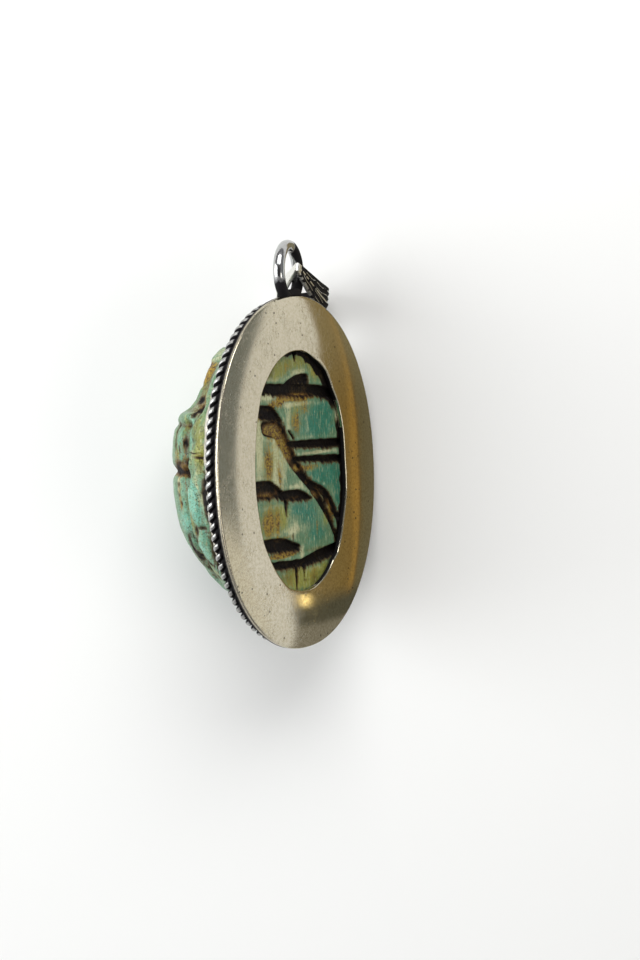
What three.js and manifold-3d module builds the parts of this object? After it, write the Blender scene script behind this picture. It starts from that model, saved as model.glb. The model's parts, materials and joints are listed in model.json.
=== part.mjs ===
// Scarab amulet in a silver pendant mount: a glazed, carved beetle held by a bezel on an oval
// back plate that has an oval window, a twisted-wire border, a soldered ring and a leaf-shaped bail.
//
// Millimetres, +Z up. Every piece is drawn in the pendant's own axes: x across the plate, y along it
// towards the ring, and z out of the back of the plate, so the beetle's domed back points to -z.
// The pendant then lies as a loose one does, on the beetle's back and the edge of its border.

import * as THREE from 'three';
import { mergeVertices } from 'three/addons/utils/BufferGeometryUtils.js';
import Module from 'manifold-3d';

const wasm = await Module();
wasm.setup();

// ---------------------------------------------------------------- driving dimensions

const PLATE = { halfWidth: 12.6, halfLength: 17.45, roundness: 2.13, sheet: 0.5, crown: 0.31 };
const BEVEL_SHARE = 0.32; // how far in from the rim the plate slopes, as a share of its border
const BEVEL_RISE = 0.24;
const WINDOW = { halfWidth: 7.25, halfLength: 11.87, roundness: 2.18, centreY: 0.18 };
const SEAT_DEPTH = 0.24; // front face of the plate beside the window, where the bezel stands
const JOINT_GAP = 0.04; // clearance between soldered or fitted neighbours
const ROPE_GAP = 0.14; // clearance of the twisted wire's widest turns over the sheet

const SCARAB = { halfWidth: 8.42, halfLength: 12.58, outline: 2.3, section: 2.6, base: 0.32 };
const BEZEL = { halfWidth: 8.52, halfLength: 12.7, wall: 0.38, top: 5.15, leanX: 0.2, leanY: 0.06 };
const ROPE = { radius: 0.69, inset: 0.22, valley: 0.38, crests: 92, stepsPerCrest: 3, sides: 6 };
const RING = { radius: 2.62, wire: 0.57, centreX: 0.04, centreY: 19.74, centreZ: -0.34, twistDegrees: 17.2 };

const BAIL = {
  apex: new THREE.Vector3(0.16, 20.19, 0.65),
  down: new THREE.Vector3(0.737, -0.376, -0.562),
  across: new THREE.Vector3(0.554, -0.139, 0.821),
  strip: 0.4,
  legLength: 9.4,
  leafSpread: 2.75,
  tailSpread: 2.85,
  tailBow: 0.2,
  foldDepth: 1.35,
  tipHalfWidth: 0.42,
  leafHalfWidth: 1.9,
  tailHalfWidth: 1.25,
};

const FLAT_SPOT = 0.15; // worn flat on the beetle's back and on the border, where the pendant lies

// ---------------------------------------------------------------- shared helpers

const mix = (from, to, share) => from + (to - from) * share;
const signedPower = (value, power) => Math.sign(value) * Math.abs(value) ** power;
const smooth = (low, high, value) => THREE.MathUtils.smoothstep(value, low, high);
const bump = (value, centre, width) => Math.exp(-(((value - centre) / width) ** 2));

/** A point of a superellipse at a turn in radians. */
function ovalPoint(halfWidth, halfLength, roundness, turn) {
  const power = 2 / roundness;
  return [
    halfWidth * signedPower(Math.cos(turn), power),
    halfLength * signedPower(Math.sin(turn), power),
  ];
}

/** Rings of equal length joined into one closed skin; the last ring meets the first if looped. */
function skin(rings, looped) {
  const count = rings[0].length;
  const positions = rings.flat().flatMap((point) => [point.x, point.y, point.z]);
  const faces = [];
  const spans = looped ? rings.length : rings.length - 1;
  for (let row = 0; row < spans; row += 1) {
    const here = row * count;
    const next = ((row + 1) % rings.length) * count;
    for (let column = 0; column < count; column += 1) {
      const after = (column + 1) % count;
      faces.push(here + column, next + column, next + after);
      faces.push(here + column, next + after, here + after);
    }
  }
  if (!looped) {
    for (const [ring, turned] of [[0, false], [rings.length - 1, true]]) {
      const centre = new THREE.Vector3();
      for (const point of rings[ring]) centre.addScaledVector(point, 1 / count);
      const hub = positions.length / 3;
      positions.push(centre.x, centre.y, centre.z);
      for (let column = 0; column < count; column += 1) {
        const a = ring * count + column;
        const b = ring * count + ((column + 1) % count);
        faces.push(hub, turned ? b : a, turned ? a : b);
      }
    }
  }
  const geometry = new THREE.BufferGeometry();
  geometry.setAttribute('position', new THREE.Float32BufferAttribute(positions, 3));
  geometry.setIndex(faces);
  return outward(geometry);
}

/** Signed volume of a closed geometry. */
function volumeOf(geometry) {
  const position = geometry.getAttribute('position');
  const index = geometry.getIndex();
  const [a, b, c] = [new THREE.Vector3(), new THREE.Vector3(), new THREE.Vector3()];
  let volume = 0;
  for (let face = 0; face < index.count; face += 3) {
    a.fromBufferAttribute(position, index.getX(face));
    b.fromBufferAttribute(position, index.getX(face + 1));
    c.fromBufferAttribute(position, index.getX(face + 2));
    volume += a.dot(b.cross(c)) / 6;
  }
  return volume;
}

/** The same geometry with its faces turned outward. */
function outward(geometry) {
  if (volumeOf(geometry) < 0) {
    geometry.setIndex(Array.from(geometry.getIndex().array).reverse());
  }
  return geometry;
}

/** A closed geometry as a solid for joining and cutting. */
function toSolid(geometry) {
  const bare = geometry.clone();
  bare.deleteAttribute('normal');
  bare.deleteAttribute('uv');
  const merged = outward(mergeVertices(bare, 1e-4));
  return new wasm.Manifold(new wasm.Mesh({
    numProp: 3,
    vertProperties: Float32Array.from(merged.getAttribute('position').array),
    triVerts: Uint32Array.from(merged.getIndex().array),
  }));
}

/** A joined or cut solid as a geometry again. */
function toGeometry(solid) {
  const mesh = solid.getMesh();
  const geometry = new THREE.BufferGeometry();
  geometry.setAttribute('position', new THREE.BufferAttribute(Float32Array.from(mesh.vertProperties), 3));
  geometry.setIndex(new THREE.BufferAttribute(Uint32Array.from(mesh.triVerts), 1));
  return geometry;
}

/** An upright prism of an oval, from z = low to z = high. */
function ovalPrism(halfWidth, halfLength, roundness, low, high, segments) {
  const levels = [low, high];
  return skin(levels.map((z) => Array.from({ length: segments }, (_, i) => {
    const [x, y] = ovalPoint(halfWidth, halfLength, roundness, (i / segments) * 2 * Math.PI);
    return new THREE.Vector3(x, y, z);
  })), false);
}

// ---------------------------------------------------------------- back plate

/** Height of the plate's back face between the rim (0) and the window (1). */
function plateBack(share) {
  const slope = BEVEL_RISE * Math.sin((Math.min(share / BEVEL_SHARE, 1) * Math.PI) / 2);
  return slope + (PLATE.crown - BEVEL_RISE) * smooth(BEVEL_SHARE, 1, share);
}

/** The sheet: a rim, a bevelled and crowned back, the window's wall and the front face. */
function backPlateGeometry() {
  const segments = 60;
  const profile = [
    [0, -PLATE.sheet], [0, -0.1], [0.03, plateBack(0.03)], [0.15, plateBack(0.15)],
    [BEVEL_SHARE, plateBack(BEVEL_SHARE)], [0.97, PLATE.crown],
    [1, PLATE.crown - 0.05], [1, -SEAT_DEPTH], [0.62, -SEAT_DEPTH], [BEVEL_SHARE, -PLATE.sheet],
  ];
  const rings = Array.from({ length: segments }, (_, i) => {
    const turn = (i / segments) * 2 * Math.PI;
    const [rimX, rimY] = ovalPoint(PLATE.halfWidth, PLATE.halfLength, PLATE.roundness, turn);
    const [innerX, innerY] = ovalPoint(WINDOW.halfWidth, WINDOW.halfLength, WINDOW.roundness, turn);
    return profile.map(([share, z]) => new THREE.Vector3(
      mix(rimX, innerX, share),
      mix(rimY, innerY + WINDOW.centreY, share),
      z,
    ));
  });
  return skin(rings, true);
}

// ---------------------------------------------------------------- bezel

/** The setting strip: an oval wall on the plate whose lip leans in over the beetle. */
function bezelGeometry() {
  const segments = 48;
  const foot = -(SEAT_DEPTH + JOINT_GAP);
  const wall = BEZEL.wall;
  const profile = [
    [wall, 0, foot], [wall, 0, 1 - BEZEL.top], [wall, 0.55, 0.25 - BEZEL.top], [wall * 0.6, 1, -BEZEL.top],
    [0, 1, 0.15 - BEZEL.top], [0, 0.25, 1.3 - BEZEL.top], [0, 0, foot],
  ];
  const rings = Array.from({ length: segments }, (_, i) => {
    const turn = (i / segments) * 2 * Math.PI;
    return profile.map(([out, lean, z]) => {
      const [x, y] = ovalPoint(
        BEZEL.halfWidth + out - lean * BEZEL.leanX,
        BEZEL.halfLength + out - lean * BEZEL.leanY,
        SCARAB.outline,
        turn,
      );
      return new THREE.Vector3(x, y, z);
    });
  });
  return skin(rings, true);
}

// ---------------------------------------------------------------- rope border

/** Two wires twisted together, laid round the front edge of the plate. */
function ropeGeometry() {
  const halfWidth = PLATE.halfWidth - ROPE.radius;
  const halfLength = PLATE.halfLength - ROPE.radius - ROPE.inset;
  const centreZ = -(PLATE.sheet + ROPE_GAP + ROPE.radius);
  const samples = Array.from({ length: 1440 }, (_, i) => {
    const [x, y] = ovalPoint(halfWidth, halfLength, PLATE.roundness, (i / 1440) * 2 * Math.PI);
    return new THREE.Vector3(x, y, centreZ);
  });
  const path = new THREE.CatmullRomCurve3(samples, true);
  path.arcLengthDivisions = samples.length * 2;
  const steps = ROPE.crests * ROPE.stepsPerCrest;
  const places = path.getSpacedPoints(steps).slice(0, steps);
  const rings = places.map((place, step) => {
    const ahead = places[(step + 1) % steps];
    const behind = places[(step + steps - 1) % steps];
    const along = ahead.clone().sub(behind).normalize();
    const out = new THREE.Vector3(along.y, -along.x, 0);
    const lay = (step / ROPE.stepsPerCrest) * Math.PI;
    return Array.from({ length: ROPE.sides }, (_, side) => {
      const angle = (side / ROPE.sides) * 2 * Math.PI;
      const lobe = 1 - ROPE.valley * (1 - Math.abs(Math.cos(angle + lay)));
      const reach = ROPE.radius * lobe;
      return place.clone()
        .addScaledVector(out, reach * Math.cos(angle))
        .add(new THREE.Vector3(0, 0, reach * Math.sin(angle)));
    });
  });
  return skin(rings, true);
}

// ---------------------------------------------------------------- ring

/** The round wire ring, cut where it is soldered on the plate's edge, with its solder fillet. */
function ringGeometry() {
  const wire = new THREE.TorusGeometry(RING.radius, RING.wire, 8, 24);
  wire.rotateY(THREE.MathUtils.degToRad(RING.twistDegrees));
  wire.translate(RING.centreX, RING.centreY, RING.centreZ);
  const fillet = new THREE.SphereGeometry(1, 12, 8);
  fillet.scale(1.7, 0.5, RING.wire);
  fillet.translate(0, PLATE.halfLength + 0.05, RING.centreZ);
  const edge = ovalPrism(
    PLATE.halfWidth + JOINT_GAP,
    PLATE.halfLength + JOINT_GAP,
    PLATE.roundness,
    -3,
    2,
    144,
  );
  return toGeometry(toSolid(wire).add(toSolid(fillet)).subtract(toSolid(edge)));
}

// ---------------------------------------------------------------- bail

/** Half-width of the folded strip at a share of the way round, from the tip down the leaf. */
function bailHalfWidth(share) {
  const leaf = mix(BAIL.tipHalfWidth, BAIL.leafHalfWidth, Math.min(share / 0.4, 1));
  const tail = mix(BAIL.tipHalfWidth, BAIL.tailHalfWidth, Math.min((1 - share) / 0.4, 1));
  return mix(leaf, tail, smooth(0.42, 0.62, share));
}

/** The leaf-shaped strip folded into a long loop, with a rib down the leaf. */
function bailGeometry() {
  const down = BAIL.down.clone().normalize();
  const across = BAIL.across.clone().addScaledVector(down, -BAIL.across.dot(down)).normalize();
  const wide = new THREE.Vector3().crossVectors(down, across).negate();
  const leg = (share, spread, bow = 0) => new THREE.Vector3(
    BAIL.legLength * share,
    spread * share * (1 - bow * share),
    0,
  );
  const foldCorner = (spread) => new THREE.Vector3(
    BAIL.legLength + BAIL.foldDepth * 0.72,
    spread * 0.72,
    0,
  );
  const [leaf, tail] = [BAIL.leafSpread, -BAIL.tailSpread];
  const tailEnd = tail * (1 - BAIL.tailBow);
  const outline = [
    new THREE.Vector3(), ...[0.06, 0.35, 0.7, 0.97].map((share) => leg(share, leaf)), foldCorner(leaf),
    new THREE.Vector3(BAIL.legLength + BAIL.foldDepth, 0, 0),
    foldCorner(tailEnd), ...[0.97, 0.7, 0.35, 0.06].map((share) => leg(share, tail, BAIL.tailBow)),
  ];
  const curve = new THREE.CatmullRomCurve3(outline, true, 'centripetal');
  const steps = 40;
  const rings = Array.from({ length: steps }, (_, step) => {
    const share = step / steps;
    const place = curve.getPointAt(share);
    const along = curve.getTangentAt(share);
    const outside = new THREE.Vector2(-along.y, along.x);
    const half = bailHalfWidth(share);
    const rib = 0.16 * smooth(0.03, 0.1, share) * (1 - smooth(0.38, 0.46, share));
    const section = [
      [-half, 0.5], [0, 0.5 + rib / BAIL.strip], [half, 0.5], [half, -0.5], [-half, -0.5],
    ];
    return section.map(([side, level]) => {
      const lift = level * BAIL.strip;
      return BAIL.apex.clone()
        .addScaledVector(down, place.x + outside.x * lift)
        .addScaledVector(across, place.y + outside.y * lift)
        .addScaledVector(wide, side);
    });
  });
  return skin(rings, true);
}

// ---------------------------------------------------------------- scarab

// Height of the beetle's back above its base, from tail to head: [place along the body, height].
const BACK_PROFILE = [
  [-12.6, 8.7], [-11.7, 9.5], [-10, 10.45], [-8.4, 11.4], [-6.9, 12.3], [-5.2, 13.0], [-3.1, 13.35],
  [-0.8, 13.4], [1.4, 13.4], [3.5, 13.3], [4.9, 12.9], [5.8, 12.2], [6.6, 11.0], [7.5, 10.2],
  [8.9, 9.6], [10.2, 9.3], [11.6, 9.2], [12.6, 8.7],
];
const SHOULDER = 0.45; // where the wing cases meet the neck shield
const HEAD_START = 6.4;

// Legs in relief on the flanks: joints as [place along the body, height], then the half-thickness.
const LEGS = [
  { joints: [[4.6, 6.4], [7.2, 4.9], [9.6, 6.2], [11.6, 5.2]], half: 0.75 },
  { joints: [[3.6, 5.6], [0.9, 6.9], [-1.2, 5.2], [-3.2, 4.9]], half: 0.65 },
  { joints: [[-1.6, 7.4], [-5.2, 7.3], [-8.4, 5.9], [-11.4, 5.2]], half: 0.75 },
];
const LEG_RELIEF = 0.5;

/** Height of the back at a place along the body. */
function backHeight(y) {
  const last = BACK_PROFILE.length - 1;
  const next = Math.max(1, BACK_PROFILE.findIndex(([place], i) => place >= y || i === last));
  const [lowY, lowHeight] = BACK_PROFILE[next - 1];
  const [highY, highHeight] = BACK_PROFILE[next];
  return mix(lowHeight, highHeight, THREE.MathUtils.clamp((y - lowY) / (highY - lowY), 0, 1));
}

/** Distance from a point to a leg's bent line. */
function legDistance(joints, y, height) {
  let nearest = Infinity;
  const point = new THREE.Vector3(y, height, 0);
  const closest = new THREE.Vector3();
  for (let i = 1; i < joints.length; i += 1) {
    const bone = new THREE.Line3(
      new THREE.Vector3(...joints[i - 1], 0),
      new THREE.Vector3(...joints[i], 0),
    );
    bone.closestPointToPoint(point, true, closest);
    nearest = Math.min(nearest, closest.distanceTo(point));
  }
  return nearest;
}

/** Carving on the beetle, as a distance outward from its plain rounded form. */
function carving(x, y, height) {
  const bare = smooth(4.7, 5.4, height);
  const top = smooth(7.2, 8.6, height);
  let relief = 0;
  const leg = Math.min(...LEGS.map(({ joints, half }) => legDistance(joints, y, height) - half));
  relief += bare * (1 - smooth(7.6, 8.8, height)) * (LEG_RELIEF * (1 - smooth(-0.2, 0.5, leg)) - 0.35);
  relief -= 0.5 * bare * bump(height, 8.5, 0.45) * smooth(-12, -10.6, y) * (1 - smooth(5.2, 6.2, y));
  relief -= 0.75 * smooth(6.6, 8.4, height) * bump(y, SHOULDER, 0.5);
  if (y < SHOULDER) {
    relief -= 0.4 * top * bump(x, 0, 0.4);
    relief -= 0.25 * top * bump(Math.abs(x), 3.6, 0.35) * smooth(-11, -9, y);
  } else if (y < HEAD_START) {
    relief -= 0.3 * top * bump(y, HEAD_START - 1.3, 0.35);
  } else {
    const cheek = 2.6 + 0.25 * (12.6 - y);
    relief -= 0.35 * smooth(5.6, 6.6, height) * smooth(cheek, cheek + 0.9, Math.abs(x));
    relief += 0.45 * top * bump(x, 0, 1.1) * bump(y, 8.4, 1.3);
  }
  return relief;
}

/** One upright section of the beetle, from its base edge over the back to the other edge. */
function scarabSection(y, columns) {
  const reach = Math.min(Math.abs(y) / SCARAB.halfLength, 1);
  const half = SCARAB.halfWidth * (1 - reach ** SCARAB.outline) ** (1 / SCARAB.outline);
  const height = backHeight(y);
  const power = 2 / SCARAB.section;
  return Array.from({ length: columns + 1 }, (_, column) => {
    const turn = Math.PI * (column / columns);
    const x = -half * signedPower(Math.cos(turn), power);
    const rise = height * Math.abs(Math.sin(turn)) ** power;
    const normal = new THREE.Vector2(
      signedPower(x / half, SCARAB.section - 1) / half,
      (rise / height) ** (SCARAB.section - 1) / height,
    ).normalize();
    const relief = carving(x, y, rise);
    const spot = new THREE.Vector3(x, y, -(SCARAB.base + rise));
    return spot.add(new THREE.Vector3(normal.x * relief, 0, -normal.y * relief));
  });
}

/** The solid beetle before its base is carved. */
function scarabBody() {
  const stations = 48;
  const columns = 30;
  const rings = Array.from({ length: stations + 1 }, (_, i) => {
    const share = mix(-1, 1, i / stations);
    const spread = mix(share, Math.sin((share * Math.PI) / 2), 0.55);
    return scarabSection(SCARAB.halfLength * 0.9985 * spread, columns);
  });
  return skin(rings, false);
}

// Strokes sunk in the flat base, in rows from the head to the tail: the points of each stroke's
// middle line, and its half-width at the start, in the middle and at the end.
const STROKES = [
  { line: [[0.45, 11.9], [0.4, 11.0]], half: [0.2, 0.25, 0.1] },
  { line: [[-5.6, 8.9], [0.8, 8.05], [6.6, 7.45]], half: [0.45, 0.7, 0.5] },
  { line: [[-1.4, 9.0], [0.9, 9.35], [2.4, 9.2]], half: [0.1, 0.55, 0.4] },
  { line: [[-5.6, 6.7], [-3.4, 6.1], [-1.7, 5.2]], half: [0.5, 0.5, 0.1] },
  { line: [[-3.5, 4.9], [-1.4, 2.4], [1.6, -0.4], [4.1, -3.5], [6.2, -7.0]], half: [0.9, 0.6, 0.3] },
  { line: [[4.6, -1.5], [5.5, -2.7], [6.3, -4.0]], half: [0.2, 0.35, 0.2] },
  { line: [[-0.5, 4.1], [0.5, 3.2]], half: [0.15, 0.2, 0.15] },
  { line: [[0.0, 2.75], [3.5, 2.5], [6.9, 2.1]], half: [0.3, 0.5, 0.4] },
  { line: [[0.6, 1.3], [3.8, 1.05], [7.0, 0.7]], half: [0.25, 0.35, 0.3] },
  { line: [[-6.6, -1.2], [-4.5, -1.4], [-2.6, -1.7]], half: [0.8, 0.75, 0.5] },
  { line: [[-2.6, -2.1], [0.2, -2.3], [2.3, -2.7]], half: [0.5, 0.55, 0.2] },
  { line: [[-1.9, -3.0], [-2.0, -4.3]], half: [0.2, 0.2, 0.1] },
  { line: [[-5.6, -6.3], [-3.0, -6.8], [-0.3, -7.1]], half: [0.55, 0.5, 0.3] },
  { line: [[-4.6, -8.3], [-2.4, -8.7], [-0.3, -8.9]], half: [0.35, 0.4, 0.3] },
  { line: [[0.5, -8.2], [3.2, -8.6], [5.6, -8.9]], half: [0.45, 0.6, 0.4] },
  { line: [[-0.6, -9.5], [-0.75, -11.0]], half: [0.2, 0.2, 0.1] },
];
const STROKE_DEPTH = 0.45;

/** A cutter for one stroke: a flat blade with tapering sides, sunk from below the base. */
function strokeCutter({ line, half }) {
  const middle = line.length === 2
    ? new THREE.LineCurve3(...line.map(([x, y]) => new THREE.Vector3(x, y, 0)))
    : new THREE.CatmullRomCurve3(line.map(([x, y]) => new THREE.Vector3(x, y, 0)));
  const steps = line.length === 2 ? 2 : line.length + 1;
  const [left, right] = [[], []];
  for (let step = 0; step <= steps; step += 1) {
    const share = step / steps;
    const place = middle.getPoint(share);
    const along = middle.getTangent(share);
    const [start, centre, end] = half;
    const reach = share < 0.5 ? mix(start, centre, share * 2) : mix(centre, end, share * 2 - 1);
    left.push(new THREE.Vector2(place.x - along.y * reach, place.y + along.x * reach));
    right.unshift(new THREE.Vector2(place.x + along.y * reach, place.y - along.x * reach));
  }
  const blade = new THREE.ExtrudeGeometry(new THREE.Shape([...left, ...right]), {
    depth: STROKE_DEPTH + 1,
    bevelEnabled: false,
  });
  blade.translate(0, 0, -(SCARAB.base + STROKE_DEPTH));
  return toSolid(blade);
}

/** The beetle with its base carved. */
function scarabGeometry() {
  const cutters = wasm.Manifold.union(STROKES.map(strokeCutter));
  return toGeometry(toSolid(scarabBody()).subtract(cutters));
}

// ---------------------------------------------------------------- how the pendant lies

/** How far a geometry reaches towards the floor when the pendant is tipped by an angle. */
function reachDown(geometry, tip) {
  const position = geometry.getAttribute('position');
  let reach = -Infinity;
  for (let i = 0; i < position.count; i += 1) {
    reach = Math.max(reach, Math.sin(tip) * position.getX(i) - Math.cos(tip) * position.getZ(i));
  }
  return reach;
}

/** The tip, about the long axis, at which the beetle's back and the border reach the floor together. */
function restingTip(scarab, border) {
  let [low, high] = [Math.PI / 6, Math.PI / 2.2];
  for (let i = 0; i < 40; i += 1) {
    const tip = (low + high) / 2;
    if (reachDown(scarab, tip) - FLAT_SPOT > reachDown(border, tip) - FLAT_SPOT / 2) low = tip;
    else high = tip;
  }
  return low;
}

/** The same solid with what reaches past the floor worn away. */
function wornFlat(geometry, tip, floor) {
  const block = new THREE.BoxGeometry(60, 60, 10);
  block.translate(0, 0, -(floor + 5));
  block.rotateY(-tip);
  return toGeometry(toSolid(geometry).subtract(toSolid(block)));
}

// ---------------------------------------------------------------- assembly

const finishes = {
  glaze: { color: 0x6fae98, roughness: 0.5, metalness: 0 },
  silver: { color: 0xc9c2ab, roughness: 0.35, metalness: 0.9 },
  darkSilver: { color: 0x6d6a62, roughness: 0.4, metalness: 0.85 },
};

function piece(name, geometry, finish) {
  const mesh = new THREE.Mesh(geometry, new THREE.MeshStandardMaterial(finish));
  mesh.name = name;
  return mesh;
}

const scarab = scarabGeometry();
const rope = ropeGeometry();
const tip = restingTip(scarab, rope);
const floor = reachDown(rope, tip) - FLAT_SPOT / 2;

const pendant = new THREE.Group();
pendant.add(
  piece('scarab', wornFlat(scarab, tip, floor), finishes.glaze),
  piece('back_plate', backPlateGeometry(), finishes.silver),
  piece('bezel', bezelGeometry(), finishes.darkSilver),
  piece('rope_border', wornFlat(rope, tip, floor), finishes.darkSilver),
  piece('ring', ringGeometry(), finishes.silver),
  piece('bail', bailGeometry(), finishes.darkSilver),
);
pendant.rotation.y = tip;

const amulet = new THREE.Group();
amulet.add(pendant);
amulet.updateMatrixWorld(true);
const box = new THREE.Box3().setFromObject(amulet, true);
const middle = box.getCenter(new THREE.Vector3());
pendant.position.set(-middle.x, -middle.y, -box.min.z);
amulet.updateMatrixWorld(true);

export default amulet;
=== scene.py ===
"""A mounted scarab amulet: a glazed, carved beetle in a silver pendant mount, lying on a pale floor.

Every mesh is drawn in the pendant's own axes, in millimetres: x across the plate, y along it towards
the ring, and z out of the back of the plate, so the beetle's domed back points to -z.
"""

import json
import logging
from dataclasses import dataclass, field
from enum import Enum

import bpy
import numpy as np
from mathutils import Matrix, Vector


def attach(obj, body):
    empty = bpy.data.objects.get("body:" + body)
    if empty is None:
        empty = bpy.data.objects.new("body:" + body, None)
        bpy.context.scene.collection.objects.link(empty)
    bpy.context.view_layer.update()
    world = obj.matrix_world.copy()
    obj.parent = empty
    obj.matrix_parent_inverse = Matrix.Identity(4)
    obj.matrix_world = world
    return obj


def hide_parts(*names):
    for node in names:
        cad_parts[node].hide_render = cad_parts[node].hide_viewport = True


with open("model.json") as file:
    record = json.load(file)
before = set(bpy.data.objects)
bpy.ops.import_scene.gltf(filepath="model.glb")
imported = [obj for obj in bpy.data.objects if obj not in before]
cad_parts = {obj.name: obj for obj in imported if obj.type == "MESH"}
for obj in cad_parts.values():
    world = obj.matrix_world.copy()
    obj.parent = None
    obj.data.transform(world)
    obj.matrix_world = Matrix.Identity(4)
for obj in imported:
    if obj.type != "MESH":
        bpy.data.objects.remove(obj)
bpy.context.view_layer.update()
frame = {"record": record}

log = logging.getLogger("amulet")
MM = 0.001
Place = tuple[float, float, float]


# ---------------------------------------------------------------- shared helpers


def mix(low: float, high: float, share: np.ndarray | float) -> np.ndarray | float:
    """Value a share of the way from low to high."""
    return low + (high - low) * share


def ease(low: float, high: float, value: np.ndarray) -> np.ndarray:
    """Smooth step from 0 at low to 1 at high.

    Args:
        low: Value where the step starts.
        high: Value where it ends; it may be below low.
        value: The values to step.

    Returns:
        An array between 0 and 1.
    """
    share = np.clip((value - low) / (high - low), 0.0, 1.0)
    return share * share * (3.0 - 2.0 * share)


def bump(value: np.ndarray, centre: float, width: float) -> np.ndarray:
    """Bell curve of height 1 about a centre."""
    return np.exp(-(((value - centre) / width) ** 2))


def limited(strength: np.ndarray, most: float = 1.3) -> np.ndarray:
    """A painted mark's strength, kept between nothing and the most that still looks right."""
    return np.clip(strength, 0.0, most)


def signed_power(value: np.ndarray, power: float) -> np.ndarray:
    """Power of a size that keeps its sign."""
    return np.sign(value) * np.abs(value) ** power


def oval(half_width: float, half_length: float, roundness: float, turn: np.ndarray) -> np.ndarray:
    """Points of a superellipse.

    Args:
        half_width: Half-width along x.
        half_length: Half-length along y.
        roundness: Exponent; 2 is an ellipse.
        turn: Turns in radians.

    Returns:
        An array of x and y pairs.
    """
    power = 2.0 / roundness
    x = half_width * signed_power(np.cos(turn), power)
    y = half_length * signed_power(np.sin(turn), power)
    return np.stack([x, y], axis=-1)


def smooth_line(points: list[tuple[float, ...]], count: int, closed: bool = False) -> np.ndarray:
    """Catmull-Rom line through points.

    Args:
        points: The points that it passes.
        count: How many points to return.
        closed: Whether the last point joins the first.

    Returns:
        An array of count points.
    """
    given = np.array(points, float)
    if closed:
        padded = np.vstack([given[-1:], given, given[:2]])
        spans = len(given)
        places = np.arange(count) / count * spans
    else:
        padded = np.vstack([2 * given[0] - given[1], given, 2 * given[-1] - given[-2]])
        spans = len(given) - 1
        places = np.linspace(0.0, spans, count)
    span = np.minimum(places.astype(int), spans - 1)
    t = (places - span)[:, None]
    p0, p1, p2, p3 = (padded[span + step] for step in range(4))
    cubic = 3.0 * (p1 - p2) + p3 - p0
    return 0.5 * (2.0 * p1 + (p2 - p0) * t + (2.0 * p0 - 5.0 * p1 + 4.0 * p2 - p3) * t**2 + cubic * t**3)


def turns(count: int) -> np.ndarray:
    """Evenly spaced turns round a circle, in radians."""
    return np.arange(count) / count * 2.0 * np.pi


def evenly(line: np.ndarray, count: int) -> np.ndarray:
    """Points evenly spaced along a flat line whose last point repeats its first."""
    run = np.concatenate([[0.0], np.cumsum(np.linalg.norm(np.diff(line, axis=0), axis=1))])
    places = np.arange(count) / count * run[-1]
    return np.stack([np.interp(places, run, line[:, axis]) for axis in (0, 1)], -1)


def unit(vectors: np.ndarray) -> np.ndarray:
    """The same vectors, all of length 1."""
    return vectors / np.linalg.norm(vectors, axis=-1, keepdims=True)


def tangents(line: np.ndarray) -> np.ndarray:
    """Unit directions at the points of a closed line."""
    return unit(np.roll(line, -1, 0) - np.roll(line, 1, 0))


def link(name: str, data: bpy.types.ID) -> bpy.types.Object:
    """Puts a new object in the scene.

    Args:
        name: Its name.
        data: Its mesh, light or camera.

    Returns:
        The object.
    """
    made = bpy.data.objects.new(name, data)
    bpy.context.scene.collection.objects.link(made)
    return made


class Unevenness:
    """Smooth, repeatable unevenness through space."""

    def __init__(self, size: float | Place, seed: int, octaves: int = 3) -> None:
        """Makes the lattice.

        Args:
            size: Width of the largest lumps, in millimetres, the same or one for each axis.
            seed: Seed of the lattice.
            octaves: How many finer layers are added.
        """
        self.size = np.array(size, float)
        self.octaves = octaves
        self.lattice = np.random.default_rng(seed).uniform(-1.0, 1.0, (32, 32, 32))

    def _layer(self, place: np.ndarray) -> np.ndarray:
        """One layer, read from the lattice with smooth steps between its corners."""
        cell = np.floor(place).astype(int)
        t = place - cell
        t = t * t * (3.0 - 2.0 * t)
        total = np.zeros(place.shape[:-1])
        for corner in range(8):
            step = np.array([corner & 1, corner >> 1 & 1, corner >> 2 & 1])
            weight = np.prod(np.where(step == 1, t, 1.0 - t), axis=-1)
            index = (cell + step) % 32
            total += weight * self.lattice[index[..., 0], index[..., 1], index[..., 2]]
        return total

    def at(self, points: np.ndarray) -> np.ndarray:
        """Unevenness at points, about -1 to 1.

        Args:
            points: An array of x, y and z triples.

        Returns:
            One number for each point.
        """
        total = np.zeros(points.shape[:-1])
        weight = 1.0
        place = points / self.size
        for _ in range(self.octaves):
            total += weight * self._layer(place)
            place = place * 2.03 + 7.1
            weight *= 0.5
        return total / 1.2


# ---------------------------------------------------------------- the pendant's axes


@dataclass(frozen=True)
class PendantAxes:
    """Where the pendant's own axes stand in the row frame."""

    turn: np.ndarray
    origin: np.ndarray

    MOUNT_PLACE = (-0.9352, -0.0638, -0.32)  # the mount on the beetle's base, in the pendant's axes

    @classmethod
    def from_record(cls, record: dict) -> "PendantAxes":
        """Reads them from the mount on the beetle's base.

        Args:
            record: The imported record.

        Returns:
            The axes.
        """
        mount = next(m for m in record["mounts"] if m["name"] == "carved_base")
        sine, _, cosine = mount["axis"]
        turn = np.array([[cosine, 0.0, sine], [0.0, 1.0, 0.0], [-sine, 0.0, cosine]])
        origin = np.array(mount["pos_m"]) / MM - turn @ np.array(cls.MOUNT_PLACE)
        return cls(turn, origin)

    def to_floor(self, points: np.ndarray) -> np.ndarray:
        """Places in the row frame, in millimetres, worn flat where they would pass the floor."""
        placed = points @ self.turn.T + self.origin
        placed[..., 2] = np.maximum(placed[..., 2], 0.0)
        return placed


AXES = PendantAxes.from_record(frame["record"])
TIP = float(np.arctan2(AXES.turn[0, 2], AXES.turn[0, 0]))


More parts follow.
